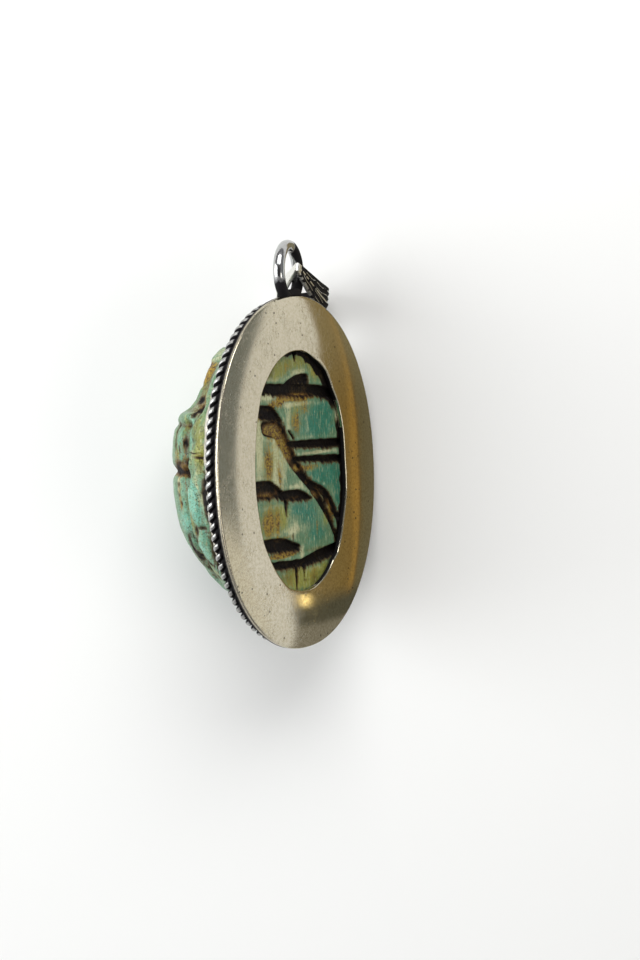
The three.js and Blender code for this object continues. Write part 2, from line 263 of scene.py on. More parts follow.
class Skin:
    """A mesh in the making: grids of points in the pendant's axes, with painted marks on them."""

    def __init__(self) -> None:
        """Starts with nothing."""
        self.points: list[np.ndarray] = []
        self.faces: list[np.ndarray] = []
        self.marks: dict[str, list[np.ndarray]] = {}
        self.count = 0

    def add(self, grid: np.ndarray, capped: bool = False, **marks: np.ndarray) -> None:
        """Adds a closed form as a grid whose last column joins the first.

        Args:
            grid: Rows by columns of x, y and z.
            capped: Whether the first and last rows are closed with a fan, and not joined.
            **marks: Painted marks, each rows by columns.
        """
        rows, columns, _ = grid.shape
        row = np.arange(rows - 1 if capped else rows)[:, None]
        column = np.arange(columns)[None, :]
        here, below = row * columns, (row + 1) % rows * columns
        after = (column + 1) % columns
        corners = (here + column, below + column, below + after, here + after)
        faces = np.stack([c * np.ones((len(row), column.shape[1]), int) for c in corners], -1).reshape(-1, 4)
        points = grid.reshape(-1, 3)
        painted = {name: np.asarray(mark, float).reshape(-1) for name, mark in marks.items()}
        if capped:
            ring = np.arange(columns)
            for first, turned in ((0, False), ((rows - 1) * columns, True)):
                hub = len(points)
                a, b = first + ring, first + (ring + 1) % columns
                if turned:
                    a, b = b, a
                fan = np.stack([np.full(columns, hub), a, b, b], -1)
                faces = np.vstack([faces, fan])
                points = np.vstack([points, points[first : first + columns].mean(0)])
                painted = {n: np.append(m, m[first : first + columns].mean()) for n, m in painted.items()}
        self.points.append(points)
        self.faces.append(self._outward(points, faces) + self.count)
        for name, mark in painted.items():
            self.marks.setdefault(name, []).append(mark)
        self.count += len(points)

    @staticmethod
    def _outward(points: np.ndarray, faces: np.ndarray) -> np.ndarray:
        """The faces, reversed if they enclose a negative volume."""
        a, b, c, d = (points[faces[:, corner]] for corner in range(4))
        volume = (a * np.cross(b, c)).sum() + (a * np.cross(c, d)).sum()
        return faces if volume > 0 else faces[:, ::-1]

    def mesh(self, name: str, placed: np.ndarray) -> bpy.types.Mesh:
        """Makes the mesh, without its marks.

        Args:
            name: The mesh's name.
            placed: The skin's points where the mesh has them.

        Returns:
            The new mesh.
        """
        mesh = bpy.data.meshes.new(name)
        faces = [tuple(dict.fromkeys(face)) for face in np.vstack(self.faces).tolist()]
        mesh.from_pydata(placed.tolist(), [], faces)
        return mesh

    def build(self, name: str) -> bpy.types.Object:
        """Makes the object, smooth shaded, at its place in the row frame.

        Args:
            name: The object's name.

        Returns:
            The new object.
        """
        mesh = self.mesh(name, AXES.to_floor(np.vstack(self.points)) * MM)
        for mark, values in self.marks.items():
            layer = mesh.attributes.new(mark, "FLOAT", "POINT")
            layer.data.foreach_set("value", np.concatenate(values).astype(np.float32))
        mesh.shade_smooth()
        mesh.validate()
        return link(name, mesh)


def hand_over(piece: bpy.types.Object, node: str) -> bpy.types.Object:
    """Lets a piece ride with the pendant in place of a CAD node, and reports it.

    Args:
        piece: The finished piece.
        node: The node that it stands for.

    Returns:
        The piece.
    """
    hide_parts(node)
    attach(piece, "root")
    log.info("%s: %d faces for %s", piece.name, len(piece.data.polygons), node)
    return piece


# ---------------------------------------------------------------- shader maths

Colour = tuple[float, float, float, float]
Value = "Signal | float"
Tint = "Signal | Colour"


class Signal:
    """A shader socket that carries a number, a vector or a colour, with ordinary arithmetic."""

    def __init__(self, tree: bpy.types.NodeTree, socket: bpy.types.NodeSocket) -> None:
        """Wraps a socket.

        Args:
            tree: The tree that new nodes join.
            socket: The output socket.
        """
        self.tree = tree
        self.socket = socket

    def _math(self, operation: str, *others: Value, first: "Value | None" = None) -> "Signal":
        """One Math node, on numbers."""
        node = self.tree.nodes.new("ShaderNodeMath")
        node.operation = operation
        operands = [self if first is None else first, *others]
        for index, operand in enumerate(operands):
            if isinstance(operand, Signal):
                self.tree.links.new(operand.socket, node.inputs[index])
            else:
                node.inputs[index].default_value = operand
        return Signal(self.tree, node.outputs[0])

    def __add__(self, other: Value) -> "Signal":
        """Sum."""
        return self._math("ADD", other)

    __radd__ = __add__

    def __sub__(self, other: Value) -> "Signal":
        """Difference."""
        return self._math("SUBTRACT", other)

    def __rsub__(self, other: float) -> "Signal":
        """Difference from a number."""
        return self._math("SUBTRACT", self, first=other)

    def __mul__(self, other: Value) -> "Signal":
        """Product."""
        return self._math("MULTIPLY", other)

    __rmul__ = __mul__

    def __gt__(self, other: Value) -> "Signal":
        """1 where it is greater."""
        return self._math("GREATER_THAN", other)

    def most(self, other: Value) -> "Signal":
        """The greater of two."""
        return self._math("MAXIMUM", other)

    def size(self) -> "Signal":
        """Distance from zero."""
        return self._math("ABSOLUTE")

    def step(self, low: float, high: float) -> "Signal":
        """Smooth step from 0 at low to 1 at high; high may be below low."""
        node = self.tree.nodes.new("ShaderNodeMapRange")
        node.interpolation_type = "SMOOTHSTEP"
        turned = high < low
        self.tree.links.new(self.socket, node.inputs["Value"])
        node.inputs["From Min"].default_value = min(low, high)
        node.inputs["From Max"].default_value = max(low, high)
        node.inputs["To Min"].default_value = 1.0 if turned else 0.0
        node.inputs["To Max"].default_value = 0.0 if turned else 1.0
        return Signal(self.tree, node.outputs["Result"])


class Palette:
    """A material in the making."""

    def __init__(self, name: str) -> None:
        """Starts a material with one Principled surface.

        Args:
            name: The material's name.
        """
        self.material = bpy.data.materials.new(name)
        self.material.use_nodes = True
        self.tree = self.material.node_tree
        self.surface = self.tree.nodes["Principled BSDF"]
        self.place = self.node("ShaderNodeMapping", {}, {
            "Vector": self.node("ShaderNodeTexCoord", {}, {}, "Object"),
            "Rotation": (0.0, -TIP, 0.0),
            "Scale": (1.0 / MM,) * 3,
        })

    def node(self, kind: str, settings: dict, inputs: dict, output: str | int = 0) -> Signal:
        """Adds a node of any type.

        Args:
            kind: The node's type.
            settings: Properties to set first; "stops" fills a colour ramp.
            inputs: Values or signals for its sockets, by name or number.
            output: The output to return, by name or number.

        Returns:
            The output.
        """
        node = self.tree.nodes.new(kind)
        for key, value in settings.items():
            if key == "stops":
                ramp = node.color_ramp
                while len(ramp.elements) < len(value):
                    ramp.elements.new(0.5)
                for element, (position, colour) in zip(ramp.elements, value):
                    element.position = position
                    element.color = colour
            else:
                setattr(node, key, value)
        for key, value in inputs.items():
            if isinstance(value, Signal):
                self.tree.links.new(value.socket, node.inputs[key])
            else:
                node.inputs[key].default_value = value
        return Signal(self.tree, node.outputs[output])

    def mark(self, name: str) -> Signal:
        """A mark painted on the mesh."""
        return self.node("ShaderNodeAttribute", {"attribute_name": name}, {}, "Fac")

    def stretched(self, scale: Place, turn: float = 0.0) -> Signal:
        """The pendant's axes, stretched and turned about the plate's depth, as a texture's place."""
        inputs = {"Vector": self.place, "Scale": scale, "Rotation": (0.0, 0.0, turn)}
        return self.node("ShaderNodeMapping", {}, inputs)

    def noise(
        self,
        scale: float,
        detail: float = 3.0,
        rough: float = 0.5,
        warp: float = 0.0,
        place: Signal | None = None,
    ) -> Signal:
        """Noise from 0 to 1.

        Args:
            scale: Lumps in a millimetre.
            detail: Finer layers.
            rough: Strength of the finer layers.
            warp: Distortion.
            place: Where it is read; the pendant's axes if left out.

        Returns:
            The noise.
        """
        inputs = {
            "Vector": place or self.place,
            "Scale": scale,
            "Detail": detail,
            "Roughness": rough,
            "Distortion": warp,
        }
        return self.node("ShaderNodeTexNoise", {}, inputs, "Fac")

    def cells(self, scale: float) -> Signal:
        """Distance to scattered points, for pits and specks."""
        inputs = {"Vector": self.place, "Scale": scale}
        return self.node("ShaderNodeTexVoronoi", {}, inputs, "Distance")

    def coordinate(self, axis: int) -> Signal:
        """A coordinate of the object, in millimetres."""
        place = self.node("ShaderNodeTexCoord", {}, {}, "Object")
        return self.node("ShaderNodeSeparateXYZ", {}, {0: place}, axis) * (1.0 / MM)

    def blend(self, share: Value, below: Tint, above: Tint) -> Signal:
        """Mixes two colours.

        Args:
            share: How much of the second shows.
            below: The first colour.
            above: The second colour.

        Returns:
            The mixed colour.
        """
        return self.node("ShaderNodeMix", {"data_type": "RGBA"}, {0: share, 6: below, 7: above}, 2)

    def set(self, **sockets: "Value | Colour") -> None:
        """Sets the surface's sockets; an underscore in a name stands for a space."""
        for name, value in sockets.items():
            socket = self.surface.inputs[name.replace("_", " ")]
            if isinstance(value, Signal):
                self.tree.links.new(value.socket, socket)
            else:
                socket.default_value = value

    def relief(self, height: Signal, depth: float) -> None:
        """Lets a height in millimetres bend the surface's light.

        Args:
            height: The height, 0 to 1.
            depth: What a height of 1 measures, in millimetres.
        """
        inputs = {"Height": height, "Distance": depth * MM, "Strength": 1.0}
        self.set(Normal=self.node("ShaderNodeBump", {}, inputs))

    def dress(self, piece: bpy.types.Object) -> None:
        """Puts the material on a piece."""
        piece.data.materials.append(self.material)


def colour(red: int, green: int, blue: int) -> Colour:
    """A screen colour from 0 to 255 as linear light."""
    share = [c / 255.0 for c in (red, green, blue)]
    linear = [c / 12.92 if c <= 0.04045 else ((c + 0.055) / 1.055) ** 2.4 for c in share]
    return (*linear, 1.0)


# ---------------------------------------------------------------- finishes


@dataclass(frozen=True)
class Silver:
    """Old polished silver, with scratches, pits, and dark tarnish and painted shade where it is marked."""

    name: str
    metal: Colour = (0.78, 0.74, 0.64, 1.0)
    tarnish_and_shade: Colour = (0.012, 0.011, 0.012, 1.0)
    polish: float = 0.2
    scratch_depth: float = 0.004
    mottle: float = 0.5
    grain: float = 0.3
    sheen: float = 0.08
    dark_roughness: float = 0.45

    def dress(self, piece: bpy.types.Object) -> None:
        """Dresses a piece that carries a "dark" mark, 1 where it is black.

        Args:
            piece: The piece.
        """
        paint = Palette(self.name)
        cloud = paint.noise(0.35, 4.0, 0.6)
        fine = paint.noise(4.5, 3.0, 0.6)
        specks = paint.cells(1.25).step(0.17, 0.09) * (paint.noise(0.6) > 0.5)
        sand = paint.cells(2.4).step(0.4, 0.2) * paint.noise(0.9).step(0.4, 0.55) * self.grain
        dark = (paint.mark("dark") * 1.25 + (fine - 0.5) * 0.35).step(0.3, 0.75)
        film = paint.mark("film") + (cloud - 0.5) * 0.6
        scratches = self._scratches(paint)
        worn = paint.blend(film.step(0.1, 0.9) * self.mottle, self.metal, self._dull())
        worn = paint.blend(fine.step(0.42, 0.62) * self.grain, worn, self._dull())
        worn = paint.blend((scratches * 0.7).most(sand), worn, self._dull())
        # The dark mark holds tarnish and, on several pieces, painted shade.
        worn = paint.blend(dark.most(specks * 0.6), worn, self.tarnish_and_shade)
        roughness = self.polish + cloud * 0.08 + fine * 0.05 + dark * self.dark_roughness
        paint.set(Base_Color=worn, Metallic=1.0 - dark * 0.93, Roughness=roughness)
        paint.set(Specular_IOR_Level=self.sheen)
        height = fine * 0.35 + cloud * 0.6 - scratches * 0.5 - specks * 2.0
        paint.relief(height, self.scratch_depth)
        paint.dress(piece)

    def _dull(self) -> Colour:
        """The metal with a thin brown film on it."""
        red, green, blue, _ = self.metal
        return (red * 0.72, green * 0.68, blue * 0.6, 1.0)

    @staticmethod
    def _scratches(paint: Palette) -> Signal:
        """Hairlines in three directions."""
        lines = None
        for turn, seed in ((0.35, 1.0), (-0.6, 2.0), (1.25, 3.0)):
            place = paint.stretched((0.9, 0.3, 0.9), turn)
            hair = (paint.noise(seed, 3.0, 0.6, 0.4, place) - 0.5).size().step(0.007, 0.003)
            patch = paint.noise(0.25 * seed, 2.0, 0.5).step(0.5, 0.6)
            lines = hair * patch if lines is None else lines.most(hair * patch)
        return lines


@dataclass(frozen=True)
class Glaze:
    """Worn turquoise glaze over pale stone ware, with ochre stains, soot in the carving, and painted shade by
    the window, the setting and the flank's outline.
    """

    name: str = "glazed_scarab"
    sea: Colour = colour(94, 132, 100)
    teal: Colour = colour(38, 118, 98)
    mist: Colour = colour(122, 182, 160)
    pale: Colour = colour(198, 200, 158)
    lime: Colour = colour(146, 148, 70)
    olive: Colour = colour(84, 82, 38)
    brown: Colour = colour(78, 50, 22)
    ochre: Colour = colour(154, 128, 42)
    soot: Colour = colour(14, 9, 8)
    sheen: float = 0.14
    coat: float = 0.3
    coat_roughness: float = 0.2
    relief_depth: float = 0.075

    def dress(self, piece: bpy.types.Object) -> None:
        """Dresses the beetle from its painted marks.

        Args:
            piece: The beetle.
        """
        paint = Palette(self.name)
        streak = paint.noise(1.0, 4.0, 0.65, 0.5, paint.stretched((2.6, 0.5, 1.3)))
        hair = paint.noise(1.0, 3.0, 0.7, 0.3, paint.stretched((7.0, 0.9, 5.0)))
        cloud = paint.noise(0.7, 4.0, 0.65, 0.6)
        fine = paint.noise(3.2, 4.0, 0.7)
        grain = paint.noise(6.5, 2.0, 0.6)
        vein = paint.noise(1.0, 4.0, 0.6, 0.4, paint.stretched((3.2, 0.3, 2.4)))
        pits = paint.cells(2.2).step(0.2, 0.09) * paint.noise(0.8).step(0.46, 0.56)
        pits = pits.most(paint.cells(4.2).step(0.3, 0.16) * paint.noise(1.3).step(0.44, 0.56) * 0.95)
        pitted = paint.mark("pitted")
        body = self.sea
        for mark, tint, broad, second, low, most in (
            ("teal", self.teal, cloud, streak, 0.0, 1.0),
            ("mist", self.mist, cloud, streak, 0.0, 1.0),
            ("pale", self.pale, streak, cloud, 0.15, 1.0),
            ("lime", self.lime, streak, cloud, 0.2, 1.0),
            ("olive", self.olive, cloud, hair, 0.2, 0.8),
        ):
            broken = paint.mark(mark) + (broad - 0.5) * 1.7 + (second - 0.5) * 0.9 + (fine - 0.5) * 0.7
            body = paint.blend(broken.step(low, low + 1.0) * most, body, tint)
        body = paint.blend(hair.step(0.52, 0.72) * 0.6, body, self.pale)
        body = paint.blend(hair.step(0.47, 0.27) * 0.7, body, self.olive)
        body = paint.blend(grain.step(0.52, 0.64) * pitted * 0.75, body, self.olive)
        stain = paint.mark("ochre") + (fine - 0.5) * 1.0 + (hair - 0.5) * 0.9 + (vein - 0.5) * 1.6
        stain = stain.step(0.2, 0.95)
        gold = paint.blend((fine * 0.6 + grain * 0.4).step(0.42, 0.56), self.brown, self.ochre)
        body = paint.blend(stain, body, gold)
        # This mark holds the soot in the carving and painted shade: along the plate's window, just above the
        # setting and on the flank's upper outline.
        burnt = paint.mark("soot") + (hair - 0.5) * 0.9 + (fine - 0.5) * 0.8
        body = paint.blend(burnt.step(0.12, 0.62) * 0.85, body, self.brown)
        soot = burnt.step(0.42, 0.95) * (1.0 - cloud.step(0.5, 0.64) * grain.step(0.44, 0.6) * 0.4)
        body = paint.blend(soot.most(pits * pitted), body, self.soot)
        black = burnt.step(0.3, 0.8)
        gloss = 0.3 + fine * 0.25 + stain * 0.1 + black * 0.15
        shine = (1.0 - black) * self.coat
        paint.set(Base_Color=body, Roughness=gloss, Coat_Weight=shine)
        paint.set(Specular_IOR_Level=self.sheen, Coat_Roughness=self.coat_roughness)
        height = fine * 0.7 + hair * 0.5 + grain * 0.25 - pits * pitted * 1.6
        paint.relief(height, self.relief_depth)
        paint.dress(piece)


# ---------------------------------------------------------------- the beetle


@dataclass(frozen=True)
class Stroke:
    """A line of varying width, for a sunk stroke, a carved leg or a stain."""

    line: tuple[tuple[float, float], ...]
    half: Place
    crisp_below: bool = False

    def reach(self, across: np.ndarray, along: np.ndarray) -> tuple[np.ndarray, np.ndarray]:
        """How far points lie outside the stroke.

        Args:
            across: First coordinates.
            along: Second coordinates.

        Returns:
            Distances in millimetres, negative inside, and how far each point lies below the middle line.
        """
        count = 2 if len(self.line) == 2 else 8 * (len(self.line) - 1)
        middle = smooth_line(list(self.line), count)
        share = np.linspace(0.0, 1.0, count)
        width = np.interp(share, (0.0, 0.5, 1.0), self.half)
        nearest = np.full(across.shape, 1e6)
        below = np.zeros(across.shape)
        for index in range(count - 1):
            start, step = middle[index], middle[index + 1] - middle[index]
            t = ((across - start[0]) * step[0] + (along - start[1]) * step[1]) / (step @ step)
            t = np.clip(t, 0.0, 1.0)
            away = np.hypot(across - start[0] - t * step[0], along - start[1] - t * step[1])
            away -= mix(width[index], width[index + 1], t)
            closer = away < nearest
            nearest = np.where(closer, away, nearest)
            below = np.where(closer, start[1] + t * step[1] - along, below)
        return nearest, below


Painted = tuple[np.ndarray, dict[str, np.ndarray]]


class Side(Enum):
    """Which flank of the beetle."""

    LEFT = -1
    RIGHT = 1


@dataclass
class Beetle:
    """The carved beetle: its domed back, its legs in relief, and the strokes in its flat base."""

    half_width: float = 8.42
    half_length: float = 12.58
    outline: float = 2.3
    section: float = 2.6
    base: float = 0.32
    stations: int = 300
    columns: int = 180
    base_columns: int = 130
    stroke_depth: float = 0.45
    leg_relief: float = 0.5
    leg_ground: float = 0.35
    groove_depth: float = 0.5
    suture_depth: float = 0.4
    rib_depth: float = 0.25
    rib_place: float = 3.6
    neck_depth: float = 0.3
    cheek_depth: float = 0.35
    brow_height: float = 0.45
    stain_depth: float = 0.22
    hatch_pitch: float = 0.62
    hatch_depth: float = 0.06
    striae_pitch: float = 0.95
    striae_depth: float = 0.05
    shoulder: float = 0.45
    head_start: float = 6.4
    far_shift: float = 0.9  # how far the far flank's stains are moved along

    BACK = (
        (-12.6, 8.7), (-11.7, 9.5), (-10, 10.45), (-8.4, 11.4), (-6.9, 12.3), (-5.2, 13.0), (-3.1, 13.35),
        (-0.8, 13.4), (1.4, 13.4), (3.5, 13.3), (5.1, 12.9), (6.1, 12.3), (6.75, 11.0), (7.5, 10.2),
        (8.9, 9.6), (10.2, 9.3), (11.6, 9.2), (12.6, 8.7),
    )
    LEGS = (
        Stroke(((4.6, 6.4), (7.2, 4.9), (9.6, 6.2), (11.6, 5.2)), (0.75, 0.75, 0.75)),
        Stroke(((3.6, 5.6), (0.9, 6.9), (-1.2, 5.2), (-3.2, 4.9)), (0.65, 0.65, 0.65)),
        Stroke(((-1.6, 7.4), (-5.2, 7.3), (-8.4, 5.9), (-11.4, 5.2)), (0.75, 0.75, 0.75)),
    )
    STROKES = (
        Stroke(((0.35, 11.9), (0.4, 11.05)), (0.3, 0.25, 0.1)),
        Stroke(((-5.3, 10.0), (-4.7, 9.2)), (0.3, 0.55, 0.5)),
        Stroke(((-5.6, 8.7), (-2.6, 8.35), (0.8, 8.1), (3.6, 7.9), (6.9, 7.2)), (0.45, 0.68, 0.55)),
        Stroke(((-1.5, 8.8), (0.4, 9.1), (2.1, 9.3)), (0.1, 0.5, 0.42)),
        Stroke(((2.2, 8.9), (2.0, 8.3)), (0.35, 0.4, 0.4)),
        Stroke(((-5.4, 6.4), (-3.7, 6.0), (-2.3, 5.2)), (0.6, 0.8, 0.35)),
        Stroke(((-4.5, 4.75), (-3.1, 4.5)), (0.8, 0.95, 0.85), True),
        Stroke(((-2.7, 4.4), (-1.6, 2.8), (-0.6, 1.2), (0.9, -0.4), (2.7, -2.1)), (0.95, 0.62, 0.36), True),
        Stroke(((2.5, -1.9), (3.7, -3.3), (5.3, -5.6), (6.5, -8.0)), (0.5, 0.36, 0.25), True),
        Stroke(((2.2, -1.2), (4.0, -2.2), (5.5, -3.7), (6.4, -5.2)), (0.25, 0.55, 0.3)),
        Stroke(((-1.0, 4.2), (-0.2, 3.4)), (0.12, 0.25, 0.15)),
        Stroke(((-0.9, 2.85), (3.2, 2.6), (7.3, 2.35)), (0.32, 0.45, 0.45)),
        Stroke(((-0.1, 1.35), (3.6, 1.1), (7.3, 0.75)), (0.28, 0.35, 0.4)),
        Stroke(((-6.8, -1.15), (-4.5, -1.3), (-2.7, -1.8)), (0.85, 0.9, 0.4)),
        Stroke(((-2.5, -2.1), (0.0, -2.25), (2.2, -2.75)), (0.45, 0.6, 0.12)),
        Stroke(((-1.9, -2.8), (-1.95, -4.1)), (0.35, 0.25, 0.08)),
        Stroke(((-5.8, -6.7), (-3.0, -6.9), (-0.3, -7.4)), (0.6, 0.72, 0.4)),
        Stroke(((-5.0, -8.75), (-2.4, -8.95), (0.6, -9.05)), (0.4, 0.42, 0.42)),
        Stroke(((0.2, -9.0), (3.2, -8.65), (6.2, -8.2)), (0.4, 0.66, 0.6)),
        Stroke(((-0.7, -9.2), (-0.75, -11.5)), (0.28, 0.2, 0.1)),
        Stroke(((0.6, -9.2), (0.5, -10.5)), (0.25, 0.18, 0.08)),
        Stroke(((-0.98, -6.1), (-1.0, -6.7)), (0.08, 0.12, 0.1)),
    )
    # Stains on the base: place across, place along, reach across, reach along, strength.
    BASE_STAINS = {
        "ochre": (
            (0.6, 7.45, 2.3, 0.4, 1.5), (-2.2, 7.35, 0.7, 0.4, 1.0), (-3.5, 4.5, 1.1, 0.75, 1.7),
            (-2.4, 3.6, 0.7, 0.9, 1.6), (-1.6, 2.6, 0.6, 0.9, 1.5), (-0.9, 1.6, 0.6, 0.8, 1.3),
            (0.3, 0.6, 0.5, 0.5, 0.9), (1.6, 0.35, 1.8, 0.35, 0.9), (-2.9, -7.9, 2.2, 0.3, 1.6),
            (-3.1, 6.9, 1.3, 0.5, 1.0), (1.6, 6.3, 0.8, 0.7, 0.7), (0.2, 5.0, 0.7, 1.3, 0.6),
            (3.6, 9.9, 0.6, 1.0, 0.5), (3.3, -2.4, 0.9, 0.6, 0.9), (5.3, -4.3, 0.7, 1.2, 1.0),
            (-4.8, -1.8, 1.6, 0.4, 0.8), (-4.4, 1.2, 0.5, 1.3, 0.9), (2.85, -5.4, 0.3, 1.2, 0.6),
            (-4.6, 10.0, 0.7, 0.9, 0.9), (-4.9, -4.4, 1.1, 1.4, 0.6), (-0.2, -2.5, 1.4, 0.2, 0.5),
            (-1.9, -6.2, 1.6, 0.25, 0.6), (-5.4, 5.9, 0.5, 0.7, 0.7), (2.0, -1.0, 0.5, 0.5, 0.7),
            (-2.8, 0.2, 0.3, 1.8, 0.5), (-1.7, -10.4, 1.4, 1.0, 0.5), (-1.2, 10.4, 1.0, 0.8, 0.5),
            (5.4, 8.9, 0.4, 0.8, 0.6), (-3.3, -4.2, 0.4, 1.4, 0.6), (1.9, -10.4, 1.0, 1.0, 0.5),
            (-0.3, -5.6, 0.25, 1.2, 0.4), (-4.6, 1.6, 1.0, 2.2, 0.5), (-2.7, -0.3, 0.5, 1.4, 0.4),
            (-4.4, -4.8, 1.6, 1.5, 0.5), (0.0, 5.0, 0.9, 1.4, 0.3),
        ),
        "lime": (
            (-2.6, 10.4, 2.0, 1.2, 1.5), (3.7, 10.2, 1.3, 1.2, 1.5), (0.9, 11.0, 1.6, 0.8, 1.1),
            (-4.4, -4.5, 2.0, 1.6, 1.5), (-2.4, -4.0, 1.0, 1.3, 0.7), (-1.2, -10.4, 2.0, 1.3, 1.4),
            (1.8, -10.8, 1.8, 1.2, 1.3), (4.3, -5.2, 0.6, 1.0, 0.8), (-4.6, -0.2, 1.2, 2.0, 0.5),
            (-0.2, 5.2, 0.9, 1.6, 0.7), (3.8, -9.9, 1.2, 0.9, 1.1), (1.4, 6.5, 1.6, 0.7, 0.7),
            (-4.3, 1.8, 1.3, 2.4, 0.5), (2.4, 0.2, 2.0, 0.3, 0.6), (-2.4, 1.6, 1.4, 1.8, 0.5),
            (5.4, -4.6, 0.6, 1.2, 0.7),
        ),
        "olive": (
            (-4.2, 10.3, 1.2, 1.1, 1.1), (3.9, 10.6, 1.2, 0.9, 1.0), (-4.8, -4.0, 1.8, 1.6, 0.8),
            (-0.3, 5.2, 0.8, 1.6, 0.5), (-2.2, -10.0, 1.6, 1.0, 0.9), (-4.3, 1.6, 0.9, 1.8, 0.6),
            (2.4, 1.8, 2.4, 0.25, 0.8), (5.0, -8.0, 1.6, 0.35, 0.9), (2.6, -7.9, 2.4, 0.25, 0.8),
            (6.0, 2.9, 0.8, 0.5, 0.4), (5.4, -4.4, 0.8, 1.2, 1.0), (0.2, 4.2, 0.6, 0.6, 0.6),
            (0.0, 10.6, 4.0, 1.2, 0.4), (1.6, -10.8, 1.8, 1.0, 0.7), (6.4, -1.2, 0.4, 1.4, 0.6),
            (-5.0, -0.2, 0.9, 0.7, 0.6), (4.6, -6.6, 1.0, 0.8, 0.4),
        ),
        "teal": (
            (4.4, 5.0, 2.0, 2.0, 1.4), (2.3, 4.3, 1.3, 1.3, 0.7), (5.0, -0.6, 2.2, 1.2, 1.4),
            (6.5, -2.6, 0.5, 1.6, 1.2), (1.4, -4.2, 1.5, 1.5, 1.0), (5.6, 8.7, 1.0, 1.1, 1.2),
            (3.0, -6.4, 1.6, 1.0, 0.8), (-0.6, -3.6, 0.8, 0.6, 0.8), (2.8, -0.6, 1.4, 0.6, 0.7),
            (5.0, -8.2, 1.2, 0.8, 0.6),
        ),
        "pale": (
            (-4.4, 7.75, 1.6, 0.3, 1.5), (-2.6, 7.1, 0.9, 0.25, 1.3), (0.6, 6.75, 2.6, 0.25, 1.2),
            (-5.9, 4.0, 0.5, 4.0, 1.2), (-1.0, 5.6, 0.6, 1.6, 0.8), (-2.5, 1.0, 1.1, 2.2, 0.8),
            (-3.4, 0.5, 0.4, 2.4, 0.9), (0.7, 9.95, 1.2, 0.4, 0.8), (-2.9, 9.5, 2.2, 0.3, 0.8),
            (3.4, 1.75, 2.6, 0.16, 1.2), (0.0, -1.4, 1.2, 0.5, 0.7), (-1.0, -5.3, 1.0, 1.2, 0.7),
            (0.9, -5.6, 1.6, 0.7, 0.5), (-4.5, -3.1, 1.8, 0.3, 0.7), (0.2, -7.9, 0.3, 0.7, 0.9),
            (2.4, -9.9, 2.2, 0.35, 0.9), (1.9, 4.6, 0.4, 1.6, 0.5), (-3.4, -5.6, 2.2, 0.3, 0.6),
            (-4.4, 1.4, 1.7, 2.8, 0.7), (7.1, 5.4, 0.4, 1.2, 3.0),
        ),
    }
